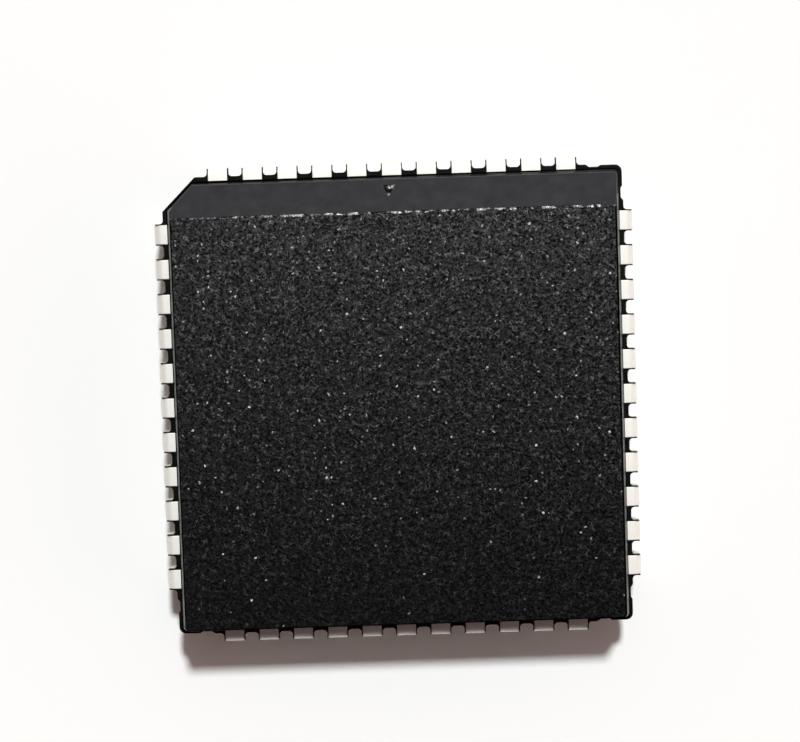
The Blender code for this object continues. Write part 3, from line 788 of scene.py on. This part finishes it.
def scaled_by(tree, value, share, small, large):
    """Shrink or grow a value towards small / large by a share from 0 to 1."""
    ratio = calculate(tree, "DIVIDE", small, large)
    factor = blend_range(tree, share, 0.0, 1.0, 1.0, ratio)
    return calculate(tree, "MULTIPLY", value, factor)


def move_across(tree, geometry, x):
    """Give each point a new X, and leave Y and Z."""
    place = place_of(tree)
    position = add_result(tree, "ShaderNodeCombineXYZ", {"X": x, "Y": place["Y"], "Z": place["Z"]})
    return add_result(tree, "GeometryNodeSetPosition", {"Geometry": geometry, "Position": position})

# %% Lay out the frame of leads
lead_tree, size = new_tree("lead_frame", lead_sizes)
section = rounded_outline(lead_tree, size["Shoulder Width"], size["Thickness"],
                          size["Stamped Edge"], EDGE_STEPS)
strip = add_result(lead_tree, "GeometryNodeCurveToMesh", {
    "Curve": bent_line(lead_tree, size), "Profile Curve": section, "Fill Caps": True})

place = place_of(lead_tree)
narrow = blend_range(lead_tree, place["Z"], size["Taper Top"], size["Taper Bottom"], 0.0, 1.0)
strip = move_across(lead_tree, strip, scaled_by(lead_tree, place["X"], narrow, size["Shank Width"],
                                                size["Shoulder Width"]))
row = lay_in_row(lead_tree, strip, size["Leads Per Side"], size["Pitch"])

place = place_of(lead_tree)
level = calculate(lead_tree, "GREATER_THAN", place["Z"], size["Taper Top"])
fan = blend_range(lead_tree, place["Y"], size["Fan Start"], size["Finger Tip"], 0.0, 1.0)
fan = calculate(lead_tree, "MULTIPLY", fan, level)
row_place = add_result(lead_tree, "GeometryNodeInputNamedAttribute", {"Name": "row_place"})
beside = calculate(lead_tree, "SUBTRACT", place["X"], row_place)
x = calculate(lead_tree, "ADD",
              scaled_by(lead_tree, row_place, fan, size["Tip Pitch"], size["Pitch"]),
              scaled_by(lead_tree, beside, fan, size["Tip Width"], size["Shoulder Width"]))
row = move_across(lead_tree, row, x)

inside = calculate(lead_tree, "LESS_THAN", place["Y"], size["Resin Wall"])
bare = calculate(lead_tree, "MULTIPLY", inside, level)
row = give_material(lead_tree, give_material(lead_tree, row, tin), copper, bare)
end_tree(lead_tree, turn_to_sides(lead_tree, row))
print(f"lead tree: {len(lead_tree.nodes)} nodes")

# %% [markdown]
# ## Flats that look flat
#
# Smooth shading blends the normals of the faces that meet in a corner. Where a wide flat
# meets the first narrow face of a bend, an even blend makes the flat look dented. So each
# corner takes the mean over the faces around it, weighted by their area, and leaves out
# those that turn away by more than a sharp edge does. The Weighted Normal modifier is the
# way to do this by hand.

# %% Make the leads a plain mesh
SHARP_ANGLE = math.radians(35)


def shade_evenly(mesh):
    """Give each corner the mean normal of the faces around it, weighted by their area."""
    around = [[] for vertex in mesh.vertices]
    for face in mesh.polygons:
        for corner in face.vertices:
            around[corner].append((face.normal.copy(), face.area))
    crisp = math.cos(SHARP_ANGLE)
    normals = []
    for face in mesh.polygons:
        for corner in face.vertices:
            total = Vector()
            for normal, area in around[corner]:
                if normal.dot(face.normal) > crisp:
                    total += normal * area
            normals.append(total.normalized())
    mesh.normals_split_custom_set(normals)


def finish_piece(name, mesh):
    """Put a finished mesh into the scene, smooth within its faces and crisp at its edges."""
    mesh.shade_smooth()
    mesh.set_sharp_from_angle(angle=SHARP_ANGLE)
    shade_evenly(mesh)
    return new_object(name, mesh)


leads = finish_piece("leads", grow_mesh(lead_line, lead_tree, lead_sizes, "leads"))
bpy.data.objects.remove(lead_line)

# %% [markdown]
# ## The bond wires
#
# Inside the resin a gold wire runs from every finger to the chip. A machine melts its end
# to a ball, presses it on a pad, loops the wire over and stitches it to the finger. The
# wires are made like the leads: one line with rounded corners, a thin tube along it, a
# flattened ball at its end, and then the row and the four sides. The pads lie closer
# together than the fingers, so the row is drawn together towards the chip.

# %% Sizes of a bond wire
die_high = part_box("silicon_die")[1]
WIRE_RADIUS = 0.0165 * MM
BALL_RADIUS = 0.035 * MM
BALL_FLATNESS = 0.5
LOOP_HEIGHT = 0.20 * MM
LOOP_BEND = 0.08 * MM
LOOP_STEPS = 3
PAD_INSET = 0.16 * MM
PAD_PLACE = die_high.y - PAD_INSET
PAD_PITCH = 0.40 * MM
STITCH_INSET = 0.22 * MM
STITCH_PLACE = FINGER_TIP + STITCH_INSET
FINGER_TOP = FRAME_HEIGHT + LEAD_THICKNESS / 2
WIRE_SIDES = 6
BALL_STEPS = 2
print(f"each wire spans {(STITCH_PLACE - PAD_PLACE) / MM:.2f} mm")

# %% Loop the wires over to the chip
wire_sizes = {
    "Leads Per Side": LEADS_PER_SIDE, "Pitch": PITCH, "Wire Radius": WIRE_RADIUS,
    "Loop Bend": LOOP_BEND, "Ball Radius": BALL_RADIUS, "Pad Place": PAD_PLACE,
    "Stitch Place": STITCH_PLACE, "Pad Pitch": PAD_PITCH, "Stitch Pitch": FINGER_TIP_PITCH}
wire_tree, size = new_tree("bond_wires", wire_sizes)
tube_section = add_result(wire_tree, "GeometryNodeCurvePrimitiveCircle", {
    "Resolution": WIRE_SIDES, "Radius": size["Wire Radius"]})
loop = add_result(wire_tree, "GeometryNodeFilletCurve", {
    "Curve": size["Geometry"], "Count": LOOP_STEPS, "Radius": size["Loop Bend"]}, mode="POLY")
tube = add_result(wire_tree, "GeometryNodeCurveToMesh", {
    "Curve": loop, "Profile Curve": tube_section, "Fill Caps": True})
ball = add_result(wire_tree, "GeometryNodeMeshIcoSphere", {
    "Radius": size["Ball Radius"], "Subdivisions": BALL_STEPS})
ball_place = add_result(wire_tree, "ShaderNodeCombineXYZ", {
    "Y": size["Pad Place"], "Z": die_high.z + BALL_RADIUS * BALL_FLATNESS})
ball = add_result(wire_tree, "GeometryNodeTransform", {
    "Geometry": ball, "Translation": ball_place, "Scale": (1.0, 1.0, BALL_FLATNESS)})
both = add_node(wire_tree, "GeometryNodeJoinGeometry")
for part in (tube, ball):
    wire_tree.links.new(part, both.inputs[0])

row = lay_in_row(wire_tree, both.outputs[0], size["Leads Per Side"], size["Pitch"])
place = place_of(wire_tree)
row_place = add_result(wire_tree, "GeometryNodeInputNamedAttribute", {"Name": "row_place"})
beside = calculate(wire_tree, "SUBTRACT", place["X"], row_place)
pitch = blend_range(wire_tree, place["Y"], size["Pad Place"], size["Stitch Place"],
                    size["Pad Pitch"], size["Stitch Pitch"])
ratio = calculate(wire_tree, "DIVIDE", pitch, size["Pitch"])
x = calculate(wire_tree, "MULTIPLY_ADD", row_place, ratio, beside)
row = give_material(wire_tree, move_across(wire_tree, row, x), gold)
end_tree(wire_tree, turn_to_sides(wire_tree, row))

wire_line = draw_line("wire_line", [
    (STITCH_PLACE, FINGER_TOP + WIRE_RADIUS / 2), (PAD_PLACE, die_high.z + LOOP_HEIGHT),
    (PAD_PLACE, die_high.z)])
wires = finish_piece("bond_wires", grow_mesh(wire_line, wire_tree, wire_sizes, "bond_wires"))
bpy.data.objects.remove(wire_line)

# %% [markdown]
# ## The moulded body
#
# The body is two drafted halves that meet at the level of the leads. It is lofted through
# three outlines, and a plane cuts the wide chamfer off one side, as the mould's maker did
# with the steel. The other tools would be a cube with loop cuts, but the loft keeps the
# corner's radius and the draft as plain numbers.
#
# A Bevel modifier rounds the edges by their bevel weights. The rims of the top and of the
# underside get the full width, the chamfer's lower edge a little less, and the cut corner
# stays crisp. The new narrow strips wear the finish of the walls.

# %% Sizes of the body
DRAFT = math.tan(math.radians(8.7))
CORNER_RADIUS = 0.15 * MM
CORNER_STEPS = 8
INDEX_CHAMFER = 1.00 * MM
CHAMFER_HEIGHT = 0.74 * MM
CHAMFER_RUN = 1.19 * MM
EDGE_ROUNDING = 0.06 * MM
LOWER_EDGE_WEIGHT = 0.9
ROUNDING_STEPS = 3
CUT_CORNER = 1
SATIN, SPARKED, FLASH, WALL, RIDGE = range(5)
print(f"chamfer {math.degrees(math.atan2(CHAMFER_HEIGHT, CHAMFER_RUN)):.0f} degrees steep")

# %% Draw the body's outline
def body_outline(inset, height):
    """Return the outline at a height, moved in from the parting line by an even distance."""
    half = BODY_HALF - inset
    chamfer = INDEX_CHAMFER - (2 - math.sqrt(2)) * inset
    center = half - CORNER_RADIUS
    points = []
    for side in range(SIDES):
        if side == CUT_CORNER:
            points += [Vector((chamfer - half, half, height)),
                       Vector((-half, half - chamfer, height))]
            continue
        for step in range(CORNER_STEPS + 1):
            angle = math.pi / 2 * step / CORNER_STEPS
            local = Vector((center + CORNER_RADIUS * math.cos(angle),
                            center + CORNER_RADIUS * math.sin(angle), height))
            points.append(side_turn(side) @ local)
    return points


def add_loft(bm, rings, material=SATIN):
    """Skin rings that have the same number of points, and close both ends."""
    loops = [[bm.verts.new(point) for point in ring] for ring in rings]
    faces = []
    for lower, upper in zip(loops, loops[1:]):
        for i in range(len(lower)):
            j = (i + 1) % len(lower)
            faces.append(bm.faces.new((lower[i], lower[j], upper[j], upper[i])))
    faces += [bm.faces.new(reversed(loops[0])), bm.faces.new(loops[-1])]
    for face in faces:
        face.material_index = material


def resin_mesh(bm, name):
    """Turn a bmesh into a mesh that carries the resin's finishes."""
    bmesh.ops.recalc_face_normals(bm, faces=bm.faces)
    mesh = bpy.data.meshes.new(name)
    bm.to_mesh(mesh)
    bm.free()
    for material in (satin_resin, sparked_resin, flash_resin, wall_resin, ridge_resin):
        mesh.materials.append(material)
    return mesh

# %% Loft the two halves and cut the chamfer
SAME_PLACE = 1e-7

upper_inset = (BODY_TOP - FRAME_HEIGHT) * DRAFT
lower_inset = (FRAME_HEIGHT - STANDOFF) * DRAFT
chamfer_start = BODY_TOP - CHAMFER_HEIGHT
lower_edge = Vector((0, BODY_HALF - (chamfer_start - FRAME_HEIGHT) * DRAFT, chamfer_start))
slope = Vector((0, -CHAMFER_RUN, CHAMFER_HEIGHT)).normalized()
slope_normal = Vector((0, slope.z, -slope.y))

bm = bmesh.new()
add_loft(bm, [body_outline(lower_inset, STANDOFF), body_outline(0.0, FRAME_HEIGHT),
              body_outline(upper_inset, BODY_TOP)])
everything = bm.verts[:] + bm.edges[:] + bm.faces[:]
cut = bmesh.ops.bisect_plane(bm, geom=everything, plane_co=lower_edge, plane_no=slope_normal,
                             dist=SAME_PLACE, clear_outer=True)
cut_edges = [item for item in cut["geom_cut"] if isinstance(item, bmesh.types.BMEdge)]
bmesh.ops.edgeloop_fill(bm, edges=cut_edges)
bmesh.ops.recalc_face_normals(bm, faces=bm.faces)
print(f"body {(BODY_TOP - STANDOFF) / MM:.2f} mm high, {len(bm.faces)} faces")

# %% Choose the edges to round, and a finish for each face
LEVEL = 0.99
STEEP = math.cos(math.pi / 4)
OUTWARD = 0.4
index_normal = Vector((-1, 1, 0)).normalized()
index_tilt = math.cos(math.atan(DRAFT))
weight = bm.edges.layers.float.new("bevel_weight_edge")
for edge in bm.edges:
    normals = [face.normal for face in edge.link_faces]
    if not any(abs(normal.z) > STEEP for normal in normals):
        continue
    edge[weight] = 1.0
    if any(normal.dot(index_normal) > LEVEL * index_tilt for normal in normals):
        edge[weight] = 0.0
    elif all(normal.y > OUTWARD for normal in normals):
        edge[weight] = LOWER_EDGE_WEIGHT
for face in bm.faces:
    if face.normal.z > LEVEL:
        face.material_index = SPARKED
    elif abs(face.normal.z) < STEEP:
        face.material_index = WALL
body = new_object("moulded_resin", resin_mesh(bm, "body_shell"))
soften = body.modifiers.new("soft edges", "BEVEL")
soften.limit_method = "WEIGHT"
soften.width = EDGE_ROUNDING
soften.segments = ROUNDING_STEPS
soften.material = WALL
weights = body.data.attributes["bevel_weight_edge"].data
print("edges to round:", sum(item.value > 0 for item in weights))

# %% [markdown]
# ## Resin at the parting line
#
# Between the mould's halves the resin creeps out as far as the bars that joined the leads.
# When those bars are punched away, a rim of resin stays, with a round-cornered opening
# between any two leads and a thin film along the side of each. At the corners it ends in
# soft tabs. The rim could be modelled opening by opening. Here one plate has the outline
# of the whole rim, as it is before punching, and the openings are punched out of it later,
# so their number and place follow the leads.

# %% Sizes of the rim
RIM_REACH = 0.13 * MM
FILM_REACH = 0.42 * MM
FILM_THICKNESS = 0.030 * MM
RIM_SETBACK = 0.006 * MM
RIM_THICKNESS = LEAD_THICKNESS - 2 * RIM_SETBACK
SLOT_GAP = 0.003 * MM
PUNCH_CORNER = 0.13 * MM
PUNCH_WIDTH = PITCH - SHOULDER_WIDTH - 2 * SLOT_GAP - 2 * FILM_THICKNESS
END_RIM_LENGTH = 0.50 * MM
END_RIM_TAPER = 0.15 * MM
NOTCH_LENGTH = 0.30 * MM
NOTCH_REACH = 0.04 * MM
TAB_REACH = 0.10 * MM
TAB_TAPER = 0.12 * MM
INDEX_RIM_REACH = 0.03 * MM
CURVE_STEPS = 5
print(f"openings {PUNCH_WIDTH / MM:.3f} mm wide")

# %% Draw the rim's outline
def soft_step(start, end):
    """Return points that lead from one (place, reach) to another in an S."""
    points = []
    for step in range(CURVE_STEPS + 1):
        share = step / CURVE_STEPS
        eased = share * share * (3 - 2 * share)
        points.append((start[0] + (end[0] - start[0]) * share,
                       start[1] + (end[1] - start[1]) * eased))
    return points


def rim_end(meets_chamfer):
    """Return the rim past the last lead, as distances along the side and reaches."""
    film = LAST_LEAD + SHOULDER_WIDTH / 2 + SLOT_GAP + FILM_THICKNESS
    points = [(film, FILM_REACH), (film, RIM_REACH + PUNCH_CORNER)]
    corner = (film + PUNCH_CORNER, RIM_REACH + PUNCH_CORNER)
    for step in range(1, CURVE_STEPS + 1):
        angle = math.radians(180 + 90 * step / CURVE_STEPS)
        points.append((corner[0] + PUNCH_CORNER * math.cos(angle),
                       corner[1] + PUNCH_CORNER * math.sin(angle)))
    if meets_chamfer:
        stop = BODY_HALF - INDEX_CHAMFER + math.sqrt(2) * INDEX_RIM_REACH - RIM_REACH
        return points + [(stop, RIM_REACH)]
    stop = LAST_LEAD + SHOULDER_WIDTH / 2 + END_RIM_LENGTH
    points += soft_step((stop - END_RIM_TAPER, RIM_REACH), (stop, NOTCH_REACH))
    tab = stop + NOTCH_LENGTH
    points += soft_step((tab, NOTCH_REACH), (tab + TAB_TAPER, TAB_REACH))
    return points


def rim_outline(height):
    """Return the whole rim's outline at a height."""
    points = []
    for side in range(SIDES):
        local = []
        if side != CUT_CORNER:
            center = BODY_HALF - CORNER_RADIUS
            radius = CORNER_RADIUS + TAB_REACH
            for step in range(CORNER_STEPS + 1):
                angle = math.pi / 2 * step / CORNER_STEPS
                local.append((center + radius * math.cos(angle),
                              center + radius * math.sin(angle) - BODY_HALF))
        local += reversed(rim_end(side == CUT_CORNER))
        local += [(-along, reach) for along, reach in rim_end(side == CUT_CORNER - 1)]
        points += [side_turn(side) @ Vector((along, BODY_HALF + reach, height))
                   for along, reach in local]
    return points

# %% Make the rim's plate
rim_heights = [FRAME_HEIGHT - RIM_THICKNESS / 2, FRAME_HEIGHT + RIM_THICKNESS / 2]
bm = bmesh.new()
add_loft(bm, [rim_outline(height) for height in rim_heights], FLASH)
rim_plate = new_object("rim_plate", resin_mesh(bm, "rim_plate"))
print(f"rim: {len(rim_plate.data.vertices)} corners")

# %% [markdown]
# ## Punches
#
# A press cuts the bars between the leads away with a row of punches, and the resin behind
# them goes too. A punch is a block with round corners, and it stands for the hole that it
# leaves. The tree fills an outline, pulls it up, and closes it with a lid whose faces are
# turned over, so that all faces point outwards. A Boolean modifier needs such a closed
# solid. Ten punches make a row, and the row is turned to all sides like the leads.

# %% Helpers for cutters
def block(tree, outline, y, z, height):
    """Fill an outline and pull it up around a height, with its near edge at a distance."""
    plate = add_result(tree, "GeometryNodeFillCurve", {"Curve": outline})
    bottom = calculate(tree, "MULTIPLY_ADD", height, -0.5, z)
    offset = add_result(tree, "ShaderNodeCombineXYZ", {"Y": y, "Z": bottom})
    plate = add_result(tree, "GeometryNodeTransform", {"Geometry": plate, "Translation": offset})
    walls = add_result(tree, "GeometryNodeExtrudeMesh", {
        "Mesh": plate, "Offset": (0.0, 0.0, 1.0), "Offset Scale": height, "Individual": False})
    lid = add_result(tree, "GeometryNodeFlipFaces", {"Mesh": plate})
    solid = add_node(tree, "GeometryNodeJoinGeometry")
    for part in (walls, lid):
        tree.links.new(part, solid.inputs[0])
    return add_result(tree, "GeometryNodeMergeByDistance", {
        "Geometry": solid.outputs[0], "Distance": SAME_PLACE})


def bar(tree, width, start, end, bottom, top):
    """Return a bar that points out of the body, between two distances and two heights."""
    length = calculate(tree, "SUBTRACT", end, start)
    tall = calculate(tree, "SUBTRACT", top, bottom)
    dimensions = add_result(tree, "ShaderNodeCombineXYZ", {"X": width, "Y": length, "Z": tall})
    cube = add_result(tree, "GeometryNodeMeshCube", {"Size": dimensions})
    middle = add_result(tree, "ShaderNodeCombineXYZ", {
        "Y": calculate(tree, "MULTIPLY_ADD", length, 0.5, start),
        "Z": calculate(tree, "MULTIPLY_ADD", tall, 0.5, bottom)})
    return add_result(tree, "GeometryNodeTransform", {"Geometry": cube, "Translation": middle})


def grow_cutter(name, sizes, make_piece, count_name):
    """Run a tree that makes one cutter, lays it in a row and turns the row to all sides."""
    tree, size = new_tree(name, sizes)
    row = lay_in_row(tree, make_piece(tree, size), size[count_name], size["Pitch"])
    end_tree(tree, give_material(tree, turn_to_sides(tree, row), satin_resin))
    holder = new_object(name, bpy.data.meshes.new(name))
    mesh = grow_mesh(holder, tree, sizes, name)
    holder.data = mesh
    return holder

# %% Shape the punches for the openings between the leads
CUT_REACH = 0.3 * MM
CUT_END = LEAD_OUTER + CUT_REACH
PUNCH_THICKNESS = 0.6 * MM
punch_sizes = {
    "Openings Per Side": LEADS_PER_SIDE - 1, "Pitch": PITCH, "Width": PUNCH_WIDTH,
    "Corner": PUNCH_CORNER, "Start": BODY_HALF + RIM_REACH, "End": CUT_END,
    "Height": FRAME_HEIGHT, "Thickness": PUNCH_THICKNESS}


def punch_piece(tree, size):
    """Make the punch for one opening."""
    length = calculate(tree, "SUBTRACT", size["End"], size["Start"])
    outline = rounded_outline(tree, size["Width"], length, size["Corner"], CURVE_STEPS)
    middle = calculate(tree, "MULTIPLY_ADD", length, 0.5, size["Start"])
    return block(tree, outline, middle, size["Height"], size["Thickness"])


punches = grow_cutter("rim_openings", punch_sizes, punch_piece, "Openings Per Side")

# %% [markdown]
# ## Slots and pockets
#
# The resin flows round the leads, so in the rim there is a slot where each lead lies. The
# slot is a hair wider than the lead, because two faces in one place render as black
# specks. On the underside each tip has a pocket, which lets the J give way when the board
# bends. Both are plain bars, and each reaches well past the resin: a cutter that ends
# exactly in a wall leaves a Boolean nothing clean to decide.

# %% Shape the slots that the leads fill, and the pockets for their tips
SLOT_DEPTH = 0.02 * MM
POCKET_GAP = 0.10 * MM
POCKET_SIDE_GAP = 0.12 * MM
slot_sizes = {
    "Leads Per Side": LEADS_PER_SIDE, "Pitch": PITCH, "Width": SHOULDER_WIDTH + 2 * SLOT_GAP,
    "Start": BODY_HALF - SLOT_DEPTH, "End": CUT_END,
    "Bottom": FRAME_HEIGHT - LEAD_THICKNESS / 2 - SLOT_GAP,
    "Top": FRAME_HEIGHT + LEAD_THICKNESS / 2 + SLOT_GAP}
pocket_sizes = {
    "Leads Per Side": LEADS_PER_SIDE, "Pitch": PITCH, "Width": SHANK_WIDTH + 2 * POCKET_SIDE_GAP,
    "Start": TIP_PLACE - LEAD_THICKNESS / 2 - POCKET_GAP, "End": CUT_END,
    "Bottom": STANDOFF - CUT_REACH, "Top": TIP_TOP + POCKET_GAP}


def bar_piece(tree, size):
    """Make a bar from its named sizes."""
    return bar(tree, size["Width"], size["Start"], size["End"], size["Bottom"], size["Top"])


slots = grow_cutter("lead_slots", slot_sizes, bar_piece, "Leads Per Side")
pockets = grow_cutter("tip_pockets", pocket_sizes, bar_piece, "Leads Per Side")

# %% [markdown]
# ## Marks
#
# A small triangle in the chamfer shows where lead 1 is. In the mould it is a low pyramid
# that stands on the steel, so in the resin it is deepest in its middle. Four pins pushed
# the finished carrier out of the lower half of the mould, and each left a shallow round
# dent. A bump in the material would look flat from the side, while these are cut for real:
# a loft from the deepest point out to the triangle and on above the surface, and four low
# cylinders.

# %% Sizes of the marks
MARK_WIDTH = 0.47 * MM
MARK_LENGTH = 0.50 * MM
MARK_DEPTH = 0.06 * MM
MARK_SIDEWAYS = -0.12 * MM
MARK_INSET = 0.49 * MM
MARK_FLOOR = 0.05
EJECTOR_RADIUS = 0.75 * MM
EJECTOR_DEPTH = 0.05 * MM
EJECTOR_INSET = 3.9 * MM
EJECTOR_STEPS = 48
print(f"marks {MARK_DEPTH / MM:.2f} and {EJECTOR_DEPTH / MM:.2f} mm deep")

# %% Shape the mark of lead 1 and the ejector marks
middle = lower_edge + slope * MARK_INSET + Vector((MARK_SIDEWAYS, 0, 0))
base = middle - slope * MARK_LENGTH / 2
half_base = Vector((1, 0, 0)) * MARK_WIDTH / 2
corners = [base - half_base, base + half_base, middle + slope * MARK_LENGTH / 2]
deepest = sum(corners, Vector()) / 3 - slope_normal * MARK_DEPTH
bm = bmesh.new()
# The mark wears the ridge's finish, whose painted highlight dashes brighten its floor.
add_loft(bm, [[deepest.lerp(corner, MARK_FLOOR) for corner in corners], corners,
              [corner + slope_normal * MARK_DEPTH for corner in corners]], RIDGE)
mark = new_object("index_mark", resin_mesh(bm, "index_mark"))

bm = bmesh.new()
ejector_place = Vector((BODY_HALF - EJECTOR_INSET, BODY_HALF - EJECTOR_INSET, STANDOFF))
for side in range(SIDES):
    bmesh.ops.create_cone(bm, cap_ends=True, segments=EJECTOR_STEPS, radius1=EJECTOR_RADIUS,
                          radius2=EJECTOR_RADIUS, depth=2 * EJECTOR_DEPTH,
                          matrix=Matrix.Translation(side_turn(side) @ ejector_place))
ejectors = new_object("ejector_marks", resin_mesh(bm, "ejector_marks"))
print(f"marks: {len(mark.data.polygons)} and {len(ejectors.data.polygons)} faces")

# %% [markdown]
# ## One piece of resin
#
# In the real carrier the body, the rim and the dents are one piece of resin, so here they
# become one mesh. Boolean modifiers join the rim and cut the rest out, in the order of the
# list, after the Bevel modifier has rounded the body's edges. Each cutter brings the
# finish of the faces that it leaves. The stack is then made plain in one go. Its rounding
# strips still wear the finish of the walls, so the strip of the upper edge of the chamfer
# gets the ridge's finish with its painted highlight dashes, and the strip of its lower edge
# the satin one.

# %% Join the rim and cut everything out
def combine(target, other, operation):
    """Join another solid to the target, or cut it out."""
    modifier = target.modifiers.new(f"{operation.lower()} {other.name}", "BOOLEAN")
    modifier.operation = operation
    modifier.solver = "EXACT"
    modifier.material_mode = "INDEX"
    modifier.object = other


combine(body, rim_plate, "UNION")
for cutter in (punches, slots, pockets, mark, ejectors):
    combine(body, cutter, "DIFFERENCE")
body_mesh = plain_mesh(body, "moulded_resin")
for helper in (body, rim_plate, punches, slots, pockets, mark, ejectors):
    bpy.data.objects.remove(helper)
print(f"resin: {len(body_mesh.polygons)} faces")

# %% Give the strips at the chamfer their finishes
# These strips lean both outwards and upwards, and no other strip does.
STRIP_LEAN = 0.05
STRIP_RISE = 0.3
strips = [face for face in body_mesh.polygons if face.material_index == WALL
          and face.normal.y > STRIP_LEAN and face.normal.z > STRIP_RISE]
for face in strips:
    face.material_index = RIDGE if face.normal.z > slope_normal.z else SATIN
resin = finish_piece("moulded_resin", body_mesh)
print(f"strips at the chamfer: {len(strips)} faces")

# %% [markdown]
# ## What the resin hides
#
# The paddle, the glue and the chip keep the engineering model's own shapes, which are
# plain slabs in the real carrier too. They only get better finishes.

# %% Dress the parts inside
for node, material in (("die_paddle", copper), ("die_attach", glue), ("silicon_die", silicon)):
    for material_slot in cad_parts[node].material_slots:
        material_slot.material = material
    print(node, "wears", material.name)

# %% [markdown]
# ## Hand the pieces over
#
# Each new piece says which nodes of the engineering model it stands for and which finish
# it takes. The carrier has no moving parts, so all of it rides on the root.

# %% Ride and replace
new_pieces = [(leads, "tin_plate", lead_nodes), (wires, "tin_plate", lead_nodes),
              (resin, "mould_resin", ["moulded_body"])]
for piece, finish_slot, nodes in new_pieces:
    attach(piece, "root")
    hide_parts(*nodes)
